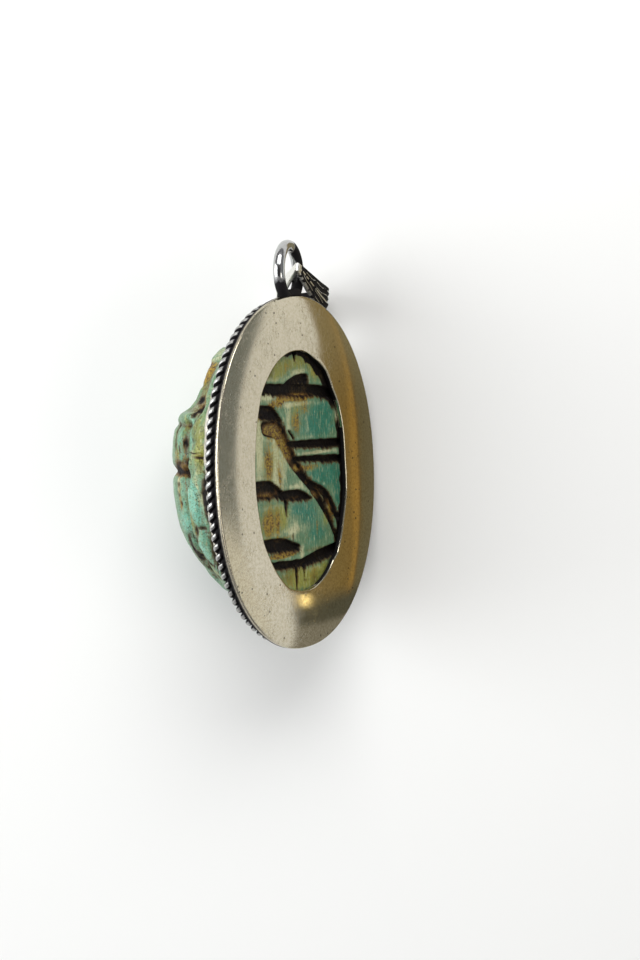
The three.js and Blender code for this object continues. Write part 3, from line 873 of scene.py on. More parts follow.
    # Stains on the flank that shows: place along, height, reach along, reach up, strength. The dark and olive
    # stains near height 10.3, from 3 to 5 along, are painted shade along the flank's upper outline.
    FLANK_STAINS = {
        "soot": (
            (7.5, 8.2, 0.3, 0.4, 1.0), (6.6, 7.2, 0.35, 0.4, 1.0), (6.15, 7.8, 0.35, 0.35, 1.0),
            (6.3, 6.5, 0.4, 0.3, 0.8), (8.9, 9.0, 0.25, 0.4, 0.8), (1.45, 9.7, 0.35, 0.7, 0.7),
            (0.9, 10.4, 0.4, 1.0, 0.8), (1.5, 8.2, 0.35, 0.5, 0.9), (2.1, 5.9, 0.14, 0.6, 1.0),
            (3.4, 8.7, 0.6, 0.2, 0.9), (2.7, 9.4, 0.6, 0.25, 0.6), (-0.7, 9.8, 0.3, 0.3, 0.7),
            (-1.8, 9.8, 0.25, 0.25, 0.6), (-2.6, 9.5, 0.3, 0.25, 0.8), (-5.2, 7.15, 0.6, 0.25, 0.9),
            (-6.2, 7.6, 0.45, 0.25, 0.9), (-6.1, 9.3, 0.6, 0.25, 0.7), (-7.3, 9.4, 0.9, 0.35, 0.9),
            (-8.2, 9.0, 0.5, 0.3, 0.8), (-8.6, 7.5, 0.3, 0.5, 1.0), (-8.8, 6.8, 0.2, 0.7, 0.8),
            (-9.3, 8.4, 0.5, 0.2, 0.8), (-10.2, 7.5, 0.4, 0.25, 0.7), (2.5, 6.8, 0.07, 1.4, 0.8),
            (10.9, 8.6, 0.35, 0.5, 0.7), (4.8, 7.3, 0.9, 0.12, 0.9), (4.6, 10.25, 0.8, 0.2, 0.7),
            (3.1, 10.2, 0.7, 0.2, 0.7), (-4.9, 6.5, 0.2, 0.35, 0.7),
        ),
        "ochre": (
            (10.6, 8.4, 0.7, 0.9, 1.4), (9.7, 8.7, 0.7, 0.6, 1.2), (7.2, 7.2, 0.7, 0.7, 0.5),
            (1.2, 9.6, 0.6, 1.1, 0.9), (2.4, 9.9, 0.8, 0.5, 0.6), (-1.3, 9.7, 1.3, 0.45, 0.7),
            (2.3, 5.8, 0.3, 0.6, 0.7), (-5.6, 7.3, 0.9, 0.4, 0.7), (3.4, 8.9, 1.0, 0.3, 0.5),
            (-3.0, 9.6, 0.8, 0.4, 0.7), (6.4, 7.4, 0.6, 0.6, 0.6), (0.45, 10.6, 0.45, 2.2, 1.0),
            (8.8, 9.2, 0.8, 0.4, 0.6),
        ),
        "lime": (
            (9.9, 8.6, 0.8, 0.7, 1.4), (8.2, 7.4, 1.1, 1.3, 1.0), (4.4, 5.8, 2.3, 1.2, 0.9),
            (2.4, 5.7, 1.0, 1.0, 0.7), (5.1, 8.8, 0.9, 0.35, 0.9), (-3.9, 7.6, 1.4, 0.6, 1.0),
            (2.4, 9.9, 0.8, 0.6, 0.8), (-9.6, 7.4, 1.6, 1.2, 0.7), (-2.2, 8.2, 1.2, 0.4, 0.6),
            (-5.6, 6.9, 1.0, 0.4, 0.8), (0.4, 6.0, 1.4, 0.9, 0.5),
        ),
        "olive": (
            (9.4, 7.9, 0.8, 0.5, 0.8), (4.6, 6.2, 1.6, 0.8, 0.4), (-3.6, 7.4, 1.6, 0.4, 0.9),
            (5.0, 9.4, 1.2, 0.3, 0.7), (-4.4, 8.4, 1.4, 0.4, 0.6), (-9.4, 8.2, 1.2, 0.5, 0.7),
            (-6.8, 8.3, 1.0, 0.4, 0.6), (4.0, 10.3, 1.6, 0.3, 0.8), (-0.9, 8.4, 1.6, 0.25, 0.7),
        ),
        "pale": (
            (7.2, 7.7, 1.2, 1.4, 0.8), (11.9, 7.4, 1.1, 2.2, 0.6), (-0.3, 9.9, 0.5, 0.35, 1.2),
            (-1.3, 9.8, 0.4, 0.3, 1.0), (1.0, 6.2, 1.4, 0.9, 0.5), (5.6, 4.9, 2.4, 0.5, 0.5),
            (-2.0, 5.7, 1.6, 0.8, 0.5), (2.6, 7.2, 0.25, 0.8, 1.0), (4.2, 8.2, 1.4, 0.3, 0.6),
            (-1.5, 6.2, 2.0, 0.3, 0.7),
        ),
        "teal": (
            (4.4, 7.9, 1.8, 0.6, 1.1), (-0.2, 7.9, 1.4, 0.5, 1.4), (-1.8, 7.3, 1.4, 0.6, 1.5),
            (-3.2, 6.7, 1.4, 0.6, 1.3), (-4.2, 9.5, 1.4, 0.6, 0.9), (-6.9, 7.0, 1.4, 0.7, 1.0),
            (3.2, 9.4, 2.0, 0.4, 0.7), (-5.3, 8.9, 1.2, 0.5, 0.7), (0.8, 8.0, 0.6, 0.4, 1.0),
        ),
    }

    def build(self) -> bpy.types.Object:
        """Builds and dresses the beetle.

        Returns:
            The finished piece.
        """
        skin = Skin()
        along = self._stations()
        left = 1.0 - (np.abs(along) / self.half_length) ** self.outline
        half = self.half_width * left ** (1.0 / self.outline)
        dome, dome_marks = self._dome(along, half)
        base, base_marks = self._base(along, half)
        marks = {name: np.hstack([dome_marks[name], base_marks[name][:, 1:-1]]) for name in dome_marks}
        skin.add(np.concatenate([dome, base[:, 1:-1]], axis=1), True, **marks)
        piece = skin.build("carved_beetle")
        Glaze().dress(piece)
        return hand_over(piece, "scarab")

    def _stations(self) -> np.ndarray:
        """Places along the body where sections are drawn, closer together at both ends."""
        share = np.linspace(-1.0, 1.0, self.stations + 1)
        return self.half_length * 0.9985 * mix(share, np.sin(share * np.pi / 2), 0.55)

    def _dome(self, along: np.ndarray, half: np.ndarray) -> Painted:
        """The back and the flanks, from the base's left edge over to its right edge.

        Args:
            along: Places of the sections.
            half: Their half-widths.

        Returns:
            Rows of points, and the marks painted on them.
        """
        height = np.interp(along, *np.array(self.BACK).T)[:, None]
        turn = np.linspace(0.0, np.pi, self.columns + 1)[None, :]
        power = 2.0 / self.section
        across = -half[:, None] * signed_power(np.cos(turn), power)
        rise = height * np.abs(np.sin(turn)) ** power
        y = along[:, None] + np.zeros_like(across)
        out = signed_power(across / half[:, None], self.section - 1.0) / half[:, None]
        up = (rise / height) ** (self.section - 1.0) / height
        length = np.hypot(out, up)
        out, up = out / length, up / length
        relief, marks = self._carving(across, y, rise)
        grid = np.stack([across + out * relief, y, -(self.base + rise + up * relief)], -1)
        return grid, marks

    def _carving(self, x: np.ndarray, y: np.ndarray, rise: np.ndarray) -> Painted:
        """Relief on the back and flanks, outward from the plain rounded form.

        Args:
            x: Places across.
            y: Places along.
            rise: Heights above the base.

        Returns:
            The relief in millimetres, and the painted marks.
        """
        places = np.stack([x, y, rise], -1)
        sway = Unevenness(1.6, 11).at(places)
        tooth = Unevenness((0.35, 0.5, 0.35), 12).at(places)
        bare = ease(4.7, 5.4, rise)
        top = ease(7.2, 8.6, rise)
        leg = np.minimum.reduce([stroke.reach(y + 0.12 * sway, rise)[0] for stroke in self.LEGS])
        on_leg = 1.0 - ease(-0.2, 0.5, leg)
        groove = bump(rise + 0.15 * sway, 8.5, 0.45) * ease(-12.0, -10.6, y) * ease(6.2, 5.2, y) * bare
        shoulder_cut = ease(6.6, 8.4, rise) * bump(y + 0.1 * sway, self.shoulder, 0.5)
        wings = y < self.shoulder
        suture = top * bump(x, 0.0, 0.4) * wings
        ribs = top * bump(np.abs(x), self.rib_place, 0.35) * ease(-11.0, -9.0, y) * wings
        head = y >= self.head_start
        neck = top * bump(y, self.head_start - 1.3, 0.35) * (~wings & ~head)
        cheek = 2.6 + 0.25 * (12.6 - y)
        cheeks = ease(5.6, 6.6, rise) * ease(0.0, 0.9, np.abs(x) - cheek) * head
        brow = top * bump(x, 0.0, 1.1) * bump(y, 8.4, 1.3) * head
        hatch = self._leg_hatch(y, rise) * on_leg * bare
        lines = (1.0 + np.cos((np.abs(x) - self.rib_place) * 2.0 * np.pi / self.striae_pitch)) ** 4 / 16.0
        striae = top * wings * lines * (np.abs(x) < 6.8) * ease(-11.5, -9.5, y)
        stains = {mark: self._both_sides(spots, x, y, rise) for mark, spots in self.FLANK_STAINS.items()}
        # Just above the setting's lip the flank is darkened: painted shade where the flank meets the setting.
        brim = mix(4.6, 5.4, ease(3.0, -2.5, y) * ease(-11.5, -8.0, y))
        soot = stains["soot"] + 0.9 * ease(0.6, -0.1, rise + 0.3 * sway - brim)
        relief = bare * ease(8.8, 7.6, rise) * (self.leg_relief * on_leg - self.leg_ground)
        relief -= self.groove_depth * (groove + shoulder_cut) + self.suture_depth * suture
        relief -= self.rib_depth * ribs + self.neck_depth * neck + self.cheek_depth * cheeks
        relief += self.brow_height * brow - self.hatch_depth * hatch - self.striae_depth * striae
        relief += 0.05 * sway + 0.015 * tooth - self.stain_depth * np.clip(soot, 0.0, 1.0) * bare
        edge = bump(leg, 0.42, 0.22) * bare * ease(8.2, 7.4, rise)
        cuts = 0.45 * groove + 1.1 * shoulder_cut**2 + 0.6 * suture + 0.35 * ribs + 0.5 * cheeks
        mist = limited(0.75 * stains["teal"] + 0.2 * wings + 0.1)
        clear = 1.0 - 0.65 * np.minimum(mist, 1.0)
        marks = {
            "soot": soot + 0.75 * cuts + 0.35 * edge + 0.5 * hatch + 0.25 * striae + 0.35 * neck,
            "ochre": stains["ochre"] + 0.5 * cuts,
            "olive": (stains["olive"] + 0.2 + 0.2 * ease(0.1, 0.9, sway)) * clear,
            "lime": (stains["lime"] + 0.15) * clear,
            "pale": (stains["pale"] + 0.1) * clear,
            "teal": 0.3 * stains["teal"],
            "mist": mist,
            "pitted": np.full(x.shape, 0.9),
        }
        return relief, {name: limited(mark) for name, mark in marks.items()}

    def _leg_hatch(self, y: np.ndarray, rise: np.ndarray) -> np.ndarray:
        """Short slanting cuts for the hairs on the legs."""
        phase = (y * 0.8 + rise * 1.15) * 2.0 * np.pi / self.hatch_pitch
        return 0.5 * (1.0 + np.cos(phase)) * (ease(-7.6, -8.8, y) + 0.25)

    @staticmethod
    def _stained(stains: tuple, first: np.ndarray, second: np.ndarray) -> np.ndarray:
        """Summed strength of soft oval stains.

        Args:
            stains: The stains, each two places, two reaches and a strength.
            first: First coordinates.
            second: Second coordinates.

        Returns:
            Their strength at each point.
        """
        total = np.zeros(first.shape)
        for first_place, second_place, first_reach, second_reach, strength in stains:
            away = ((first - first_place) / first_reach) ** 2 + ((second - second_place) / second_reach) ** 2
            total += strength * np.exp(-away)
        return total

    def _both_sides(self, stains: tuple, x: np.ndarray, y: np.ndarray, rise: np.ndarray) -> np.ndarray:
        """Stains on both flanks; the far one has the same stains, moved along."""
        total = np.zeros(x.shape)
        for side, shift in ((Side.LEFT, 0.0), (Side.RIGHT, self.far_shift)):
            total += (x * side.value > 0.0) * self._stained(stains, y - shift, rise)
        return total

    def _base(self, along: np.ndarray, half: np.ndarray) -> Painted:
        """The flat base with its sunk strokes, from its right edge back to its left edge.

        Args:
            along: Places of the sections.
            half: Their half-widths.

        Returns:
            Rows of points, and the marks painted on them.
        """
        share = np.linspace(1.0, -1.0, self.base_columns + 1)[None, :]
        x = half[:, None] * share
        y = along[:, None] + np.zeros_like(x)
        flat = np.stack([x, y, np.zeros_like(x)], -1)
        teeth = Unevenness((0.24, 5.0, 1.0), 21, 2).at(flat)
        ragged = Unevenness(0.7, 22).at(flat)
        scratches = Unevenness((0.28, 2.6, 1.0), 23, 3).at(flat)
        sunk, soot, inner, painted_edge_highlight = (np.zeros(x.shape) for _ in range(4))
        for stroke in self.STROKES:
            away, below = stroke.reach(x, y + 0.03 * ragged)
            below = -below if stroke.crisp_below else below
            low_side = ease(-0.1, 0.4, below)
            toothed = away + 0.03 * ragged - 0.3 * low_side * np.clip(teeth + 0.15, 0.0, 1.0)
            wall = ease(0.08, -0.2, toothed) * (1.0 - low_side) + ease(0.08, -0.55, toothed) * low_side
            sunk = np.maximum(sunk, wall)
            crisp = ease(0.1, -0.12, away + 0.03 * ragged)
            fading = 0.75 * ease(0.42, -0.3, toothed) + 0.35 * ease(0.0, -0.3, toothed)
            soot = np.maximum(soot, mix(crisp * 1.1, fading, low_side))
            inner = np.maximum(inner, ease(-0.08, -0.3, away))
            # A paler band just outside each stroke: painted highlight along its edge.
            painted_edge_highlight = np.maximum(painted_edge_highlight, bump(away, 0.3, 0.18) * (1.0 - 0.8 * low_side))
        worn = 0.02 * scratches + 0.03 * ragged * sunk
        z = -self.base - self.stroke_depth * sunk * (1.0 + 0.12 * ragged) + worn * (1.0 - 0.5 * sunk) - 0.02
        stains = {mark: self._stained(spots, x, y) for mark, spots in self.BASE_STAINS.items()}
        ochre = stains["ochre"]
        filled = np.minimum(ochre, 1.15) * inner
        marks = {
            # The window shade added here is painted shade.
            "soot": limited(soot * (1.0 - 0.72 * filled) + self._window_shade(x, y, ragged)),
            "ochre": limited(ochre * (1.0 + 0.3 * inner) + 0.25 * soot, 1.4),
            "olive": limited(stains["olive"] + 0.4 * soot * (1.0 - inner)),
            "lime": limited(stains["lime"]),
            "pale": limited(stains["pale"] + 0.3 * painted_edge_highlight * (1.0 - soot)),
            "mist": np.zeros(x.shape),
            "teal": limited(stains["teal"]),
            "pitted": 0.3 + 0.5 * soot,
        }
        return np.stack([x, y, z], -1), marks

    @staticmethod
    def _window_shade(x: np.ndarray, y: np.ndarray, ragged: np.ndarray) -> np.ndarray:
        """Painted shade on the base along the upper and right edge of the plate's window, where the plate
        shades it.

        Args:
            x: Places across.
            y: Places along.
            ragged: Unevenness of the painted shade's edge.

        Returns:
            Its strength.
        """
        plate = BackPlate()
        half_width, half_length = plate.window_half_width, plate.window_half_length
        power = plate.window_roundness
        across = (np.abs(x) / half_width) ** power
        along = (np.abs(y - plate.window_centre) / half_length) ** power
        inside = (1.0 - (across + along) ** (1.0 / power)) * half_width
        side = ease(0.05, 0.6, 0.8 * x / half_width + 0.55 * y / half_length)
        thick = mix(0.2, 0.52, ease(2.5, 7.5, y)) * mix(0.45, 1.0, ease(0.0, 4.0, x))
        # The painted shade is left off where the window's wall shows a lit strip.
        bare = 1.0 - 0.95 * bump(y, 5.3, 1.1)
        return 1.6 * side * bare * ease(0.1, -0.1, inside - thick + 0.16 * ragged)


# ---------------------------------------------------------------- the silver mount


@dataclass
class BackPlate:
    """The oval sheet with its sloping rim and its sawn oval window."""

    half_width: float = 12.6
    half_length: float = 17.45
    roundness: float = 2.13
    sheet: float = 0.5
    crown: float = 0.31
    bevel_share: float = 0.62
    bevel_round: float = 2.2
    window_half_width: float = 7.25
    window_half_length: float = 11.87
    window_roundness: float = 2.18
    window_centre: float = 0.18
    seat_depth: float = 0.24
    segments: int = 720
    saw_cuts: int = 26
    saw_wobble: float = 0.1
    dent_size: float = 4.0
    dent_depth: float = 0.008

    def back(self, share: np.ndarray) -> np.ndarray:
        """Height of the back face between the rim, 0, and the window, 1."""
        left = 1.0 - np.minimum(share / self.bevel_share, 1.0)
        return self.crown * (1.0 - left**self.bevel_round)

    def _profile(self) -> tuple[np.ndarray, np.ndarray, np.ndarray]:
        """Shares from rim to window, heights and darkness round one section."""
        face = np.concatenate([np.linspace(0.012, self.bevel_share, 18), np.linspace(0.66, 0.972, 8)])
        back = [(share, float(self.back(np.array(share))), 0.0) for share in face]
        front, seat, crown = -self.sheet, -self.seat_depth, self.crown
        # The rim grows darker towards the front face: painted shade between the rim and the rope, which also
        # narrows the rim's bright reflection.
        rim = [(0.012, front, 0.9), (0.0, front + 0.05, 0.8), (0.0, -0.34, 0.6), (0.0, -0.22, 0.4)]
        rim += [(0.0, -0.07, 0.34), (0.003, -0.02, 0.1)]
        # The window wall grows darker down to the seat: painted shade inside the window. The seat and the
        # front face are darkened as well.
        wall = [(0.984, crown - 0.01, 0.0), (0.993, crown - 0.035, 0.0), (0.998, crown - 0.07, 0.0)]
        wall += [(1.0, crown - 0.12, 0.0), (1.0, 0.0, 0.1), (1.0, seat + 0.03, 0.5), (0.99, seat, 0.9)]
        wall += [(0.63, seat, 1.0), (0.61, seat - 0.02, 1.0)]
        wall += [(0.33, front + 0.01, 0.75), (0.31, front, 0.7), (0.15, front, 0.75)]
        shares, heights, dark = np.array(rim + back + wall).T
        return shares, heights, dark

    def build(self) -> bpy.types.Object:
        """Builds and dresses the plate.

        Returns:
            The finished piece.
        """
        turn = turns(self.segments)
        rim = oval(self.half_width, self.half_length, self.roundness, turn)
        window = oval(self.window_half_width, self.window_half_length, self.window_roundness, turn)
        window = window * (1.0 + self._sawn(turn) / self.window_half_width)[:, None]
        window[:, 1] += self.window_centre
        share, height, dark = self._profile()
        flat = mix(rim[:, None, :], window[:, None, :], share[None, :, None])
        z = height[None, :] + np.zeros(self.segments)[:, None]
        grid = np.concatenate([flat, z[..., None]], -1)
        dents = Unevenness(self.dent_size, 31, 2).at(grid)
        grid[..., 2] += np.where(dark[None, :] < 0.05, self.dent_depth * (dents - 1.0), 0.0)
        # The plate grows duller towards its top.
        film = 0.5 + 0.5 * ease(-10.0, 12.0, grid[..., 1])
        x, y = grid[..., 0], grid[..., 1]
        # The window's wall is darkened towards its +x side, except a lit strip: painted shade inside the
        # window.
        wall = (share[None, :] > 0.989) & (height[None, :] < self.crown - 0.1)
        bare = ease(3.8, 4.1, y) * ease(6.9, 6.6, y)
        painted_wall_shade = wall * ease(0.0, 3.0, x) * (1.0 - bare) * (0.85 + 0.3 * Unevenness(0.5, 32, 2).at(grid))
        skin = Skin()
        skin.add(grid, dark=np.maximum(dark[None, :], painted_wall_shade), film=film)
        piece = skin.build("windowed_plate")
        Silver("plate_silver", metal=(0.7, 0.655, 0.535, 1.0), polish=0.09, grain=0.65).dress(piece)
        return hand_over(piece, "back_plate")

    def _sawn(self, turn: np.ndarray) -> np.ndarray:
        """How far the sawn edge strays outward, straight from one saw cut to the next."""
        random = np.random.default_rng(5)
        knots = (np.arange(self.saw_cuts) + random.uniform(-0.3, 0.3, self.saw_cuts)) / self.saw_cuts
        stray = random.uniform(-self.saw_wobble, self.saw_wobble, self.saw_cuts)
        return np.interp(turn / (2.0 * np.pi), knots, stray, period=1.0)


@dataclass
class Bezel:
    """The setting strip, whose uneven lip is pressed over the beetle."""

    half_width: float = 8.52
    half_length: float = 12.7
    roundness: float = 2.3
    wall: float = 0.38
    top: float = 5.15
    lean_x: float = 0.2
    lean_y: float = 0.06
    foot: float = -0.28
    lip_rise: float = 0.2
    lip_press: float = 0.006
    rubbing: float = 0.16
    segments: int = 540

    def build(self) -> bpy.types.Object:
        """Builds and dresses the setting strip.

        Returns:
            The finished piece.
        """
        wall, top = self.wall, self.top
        # Places up the section and back: out from the beetle, share of the lean, height, darkness. The
        # darkness on the outer wall below the lip and on the inner face is painted shade in the gap between
        # the flank and the rope.
        profile = [
            (wall, 0.0, self.foot, 1.0),
            (wall, 0.0, -0.8, 0.8),
            (wall, 0.0, -1.3, 0.6),
            (wall, 0.0, -1.8, 0.54),
            (wall, 0.0, -2.4, 0.52),
            (wall, 0.0, -3.0, 0.52),
            (wall, 0.0, 1.3 - top, 0.52),
            (wall, 0.1, 0.8 - top, 0.5),
            (wall, 0.5, 0.35 - top, 0.35),
            (wall * 0.92, 0.8, 0.12 - top, 0.0),
            (wall * 0.6, 1.0, 0.02 - top, 0.0),
            (wall * 0.2, 1.0, 0.05 - top, 0.0),
            (0.02, 1.0, 0.14 - top, 0.5),
            (0.0, 0.7, 0.6 - top, 1.0),
            (0.0, 0.25, 1.3 - top, 1.0),
            (0.0, 0.0, -1.6, 1.0),
            (0.0, 0.0, self.foot, 1.0),
        ]
        out, lean, height, dark = (column[None, :] for column in np.array(profile).T)
        ring = turns(self.segments)[:, None]
        power = 2.0 / self.roundness
        x = (self.half_width + out - lean * self.lean_x) * signed_power(np.cos(ring), power)
        y = (self.half_length + out - lean * self.lean_y) * signed_power(np.sin(ring), power)
        around = np.stack([x, y, height + 0.0 * x], -1)
        lip = ease(1.2 - top, 0.2 - top, height)
        wave = Unevenness(2.2, 41).at(around * (1.0, 1.0, 0.0))
        grid = around.copy()
        grid[..., 2] += lip * self.lip_rise * (wave + 0.5)
        grid[..., :2] *= (1.0 - lip * self.lip_press * wave)[..., None]
        rubbed = Unevenness((1.6, 1.6, 0.9), 42, 4).at(around)
        # Rubbed patches break up the painted shade.
        worn = dark + self.rubbing * rubbed * (dark < 0.95)
        skin = Skin()
        skin.add(grid, dark=worn)
        piece = skin.build("setting_strip")
        Silver("dark_silver", metal=(0.7, 0.66, 0.57, 1.0), polish=0.3).dress(piece)
        return hand_over(piece, "bezel")


@dataclass
class RopeBorder:
    """Two round wires twisted together, laid round the front edge of the plate."""

    plate: BackPlate = field(default_factory=BackPlate)
    gap: float = 0.14
    radius: float = 0.69
    inset: float = 0.22
    twists: int = 46
    steps_per_twist: int = 22
    sides: int = 14
    strand_radius: float = 0.31

    def build(self) -> bpy.types.Object:
        """Builds and dresses the border.

        Returns:
            The finished piece.
        """
        middle, along = self._path()
        out = np.stack([along[:, 1], -along[:, 0], np.zeros(len(along))], -1)
        up = np.array([0.0, 0.0, 1.0])
        angle = turns(self.sides)[None, :, None]
        skin = Skin()
        for strand in range(2):
            lay = (strand * np.pi - turns(len(middle)) * self.twists)[:, None]
            away = np.cos(lay) * out + np.sin(lay) * up
            centre = middle + self.strand_radius * away
            tangent = tangents(centre)
            away = unit(away - (away * tangent).sum(1, keepdims=True) * tangent)
            side = np.cross(tangent, away)
            ring = np.cos(angle) * away[:, None, :] + np.sin(angle) * side[:, None, :]
            grid = centre[:, None, :] + self.strand_radius * ring
            outward = np.linalg.norm(grid - middle[:, None, :], axis=-1) / (2.0 * self.strand_radius)
            # The strands' side towards the plate is darkened: painted shade under the plate's edge.
            shade_under_plate = ease(0.1, 0.5, grid[..., 2] - middle[:, None, 2])
            dark = np.maximum(ease(0.985, 0.83, outward), shade_under_plate)
            skin.add(grid, dark=dark)
        piece = skin.build("twisted_border")
        Silver("rope_silver", metal=(0.42, 0.42, 0.41, 1.0), polish=0.3, mottle=0.7).dress(piece)
        return hand_over(piece, "rope_border")

    def _path(self) -> tuple[np.ndarray, np.ndarray]:
        """Evenly spaced points round the border, and its direction at each."""
        fine = np.linspace(0.0, 2.0 * np.pi, 8001)
        half_width = self.plate.half_width - self.radius
        half_length = self.plate.half_length - self.radius - self.inset
        line = oval(half_width, half_length, self.plate.roundness, fine)
        steps = self.twists * self.steps_per_twist
        depth = np.full((steps, 1), -(self.plate.sheet + self.gap + self.radius))
        middle = np.concatenate([evenly(line, steps), depth], -1)
        return middle, tangents(middle)


@dataclass
class SolderedRing:
    """The round wire ring, sunk in a little pool of solder on the plate's edge."""

    radius: float = 2.62
    wire: float = 0.57
    centre: Place = (0.04, 19.74, -0.34)
    twist_degrees: float = 17.2
    solder: Place = (1.85, 0.95, 0.57)
    plate: BackPlate = field(default_factory=BackPlate)
    joint_gap: float = 0.02
    grain: float = 0.07
    flow_passes: int = 12
    steps: int = 180
    sides: int = 36

    def build(self) -> bpy.types.Object:
        """Builds and dresses the ring.

        Returns:
            The finished piece.
        """
        twist = np.radians(self.twist_degrees)
        turn = np.array([[np.cos(twist), 0, np.sin(twist)], [0, 1, 0], [-np.sin(twist), 0, np.cos(twist)]])
        piece = self._melt(self._parts(turn))
        mesh = piece.data
        points = np.empty(len(mesh.vertices) * 3)
        mesh.vertices.foreach_get("co", points)
        points = self._trued(points.reshape(-1, 3), turn)
        points[:, 1] = np.maximum(points[:, 1], self._plate_edge(points[:, 0]))
        mesh.vertices.foreach_set("co", points.reshape(-1))
        mesh.attributes.new("dark", "FLOAT", "POINT")
        mesh.attributes["dark"].data.foreach_set("value", self._darkness(points).astype(np.float32))
        to_floor = Matrix.Translation(AXES.origin) @ Matrix(AXES.turn).to_4x4()
        mesh.transform(Matrix.Scale(MM, 4) @ to_floor)
        mesh.update()
        metal = (0.5, 0.505, 0.51, 1.0)
        Silver("ring_silver", metal=metal, polish=0.1, scratch_depth=0.001, mottle=0.4).dress(piece)
        return hand_over(piece, "ring")

    def _parts(self, turn: np.ndarray) -> Skin:
        """The twisted wire ring and the pool of solder, still apart.

        Args:
            turn: How the ring is twisted.

        Returns:
            Both, in one skin.
        """
        skin = Skin()
        around, angle = turns(self.steps)[:, None], turns(self.sides)[None, :]
        far = self.radius + self.wire * np.cos(angle)
        thick = self.wire * np.sin(angle) + 0.0 * around
        torus = np.stack([far * np.cos(around), far * np.sin(around), thick], -1)
        skin.add(torus @ turn.T + np.array(self.centre))
        pole = np.linspace(0.02, np.pi - 0.02, 30)[:, None]
        girth, height = np.sin(pole), np.cos(pole)
        ball = np.stack([girth * np.cos(angle), girth * np.sin(angle), height + 0.0 * angle], -1)
        place = (0.0, self.plate.half_length + 0.05, self.centre[2])
        skin.add(ball * np.array(self.solder) + np.array(place), True)
        return skin

    def _melt(self, skin: Skin) -> bpy.types.Object:
        """Runs the wire and the solder together, in millimetres in the pendant's axes.

        Args:
            skin: The wire and the solder.

        Returns:
            One object with one smooth skin.
        """
        made = link("soldered_ring", skin.mesh("soldered_ring", np.vstack(skin.points)))
        remesh = made.modifiers.new("melt", "REMESH")
        remesh.mode = "VOXEL"
        remesh.voxel_size = self.grain
        smooth = made.modifiers.new("flow", "SMOOTH")
        smooth.iterations = self.flow_passes
        smooth.factor = 0.5
        graph = bpy.context.evaluated_depsgraph_get()
        melted = bpy.data.meshes.new_from_object(made.evaluated_get(graph))
        made.modifiers.clear()
        made.data = melted
        melted.name = "soldered_ring"
        melted.shade_smooth()
        return made

    def _trued(self, points: np.ndarray, turn: np.ndarray) -> np.ndarray:
        """Makes the wire exactly round again away from the solder.

        Args:
            points: Points of the melted ring.
            turn: How the ring is twisted.

        Returns:
            The points, moved.
        """
        flat = (points - np.array(self.centre)) @ turn
        middle = np.hstack([unit(flat[:, :2]) * self.radius, np.zeros((len(flat), 1))])
        exact = (middle + self.wire * unit(flat - middle)) @ turn.T + np.array(self.centre)
        free = ease(0.55, 1.1, points[:, 1] - self.plate.half_length)[:, None]
        return mix(points, exact, free)

    def _plate_edge(self, x: np.ndarray) -> np.ndarray:
        """Place along of the plate's upper edge, which nothing of the ring passes."""
        power = self.plate.roundness
        share = np.minimum(np.abs(x) / (self.plate.half_width + self.joint_gap), 1.0)
        return (self.plate.half_length + self.joint_gap) * (1.0 - share**power) ** (1.0 / power)

    def _darkness(self, points: np.ndarray) -> np.ndarray:
        """Darkness of the solder, and painted shade on the limb on the +x side."""
        x, y, z = points.T
        uneven = Unevenness(0.7, 53, 3).at(points)
        edge = self.plate.half_length
        solder = 0.85 * ease(edge + 2.9, edge + 0.2, y + 0.25 * uneven)
        # The second term is painted shade over the +x limb.
        return np.maximum(solder, 0.72 * ease(0.2, 1.2, x) * ease(-1.2, -0.5, z) + 0.06 * uneven)


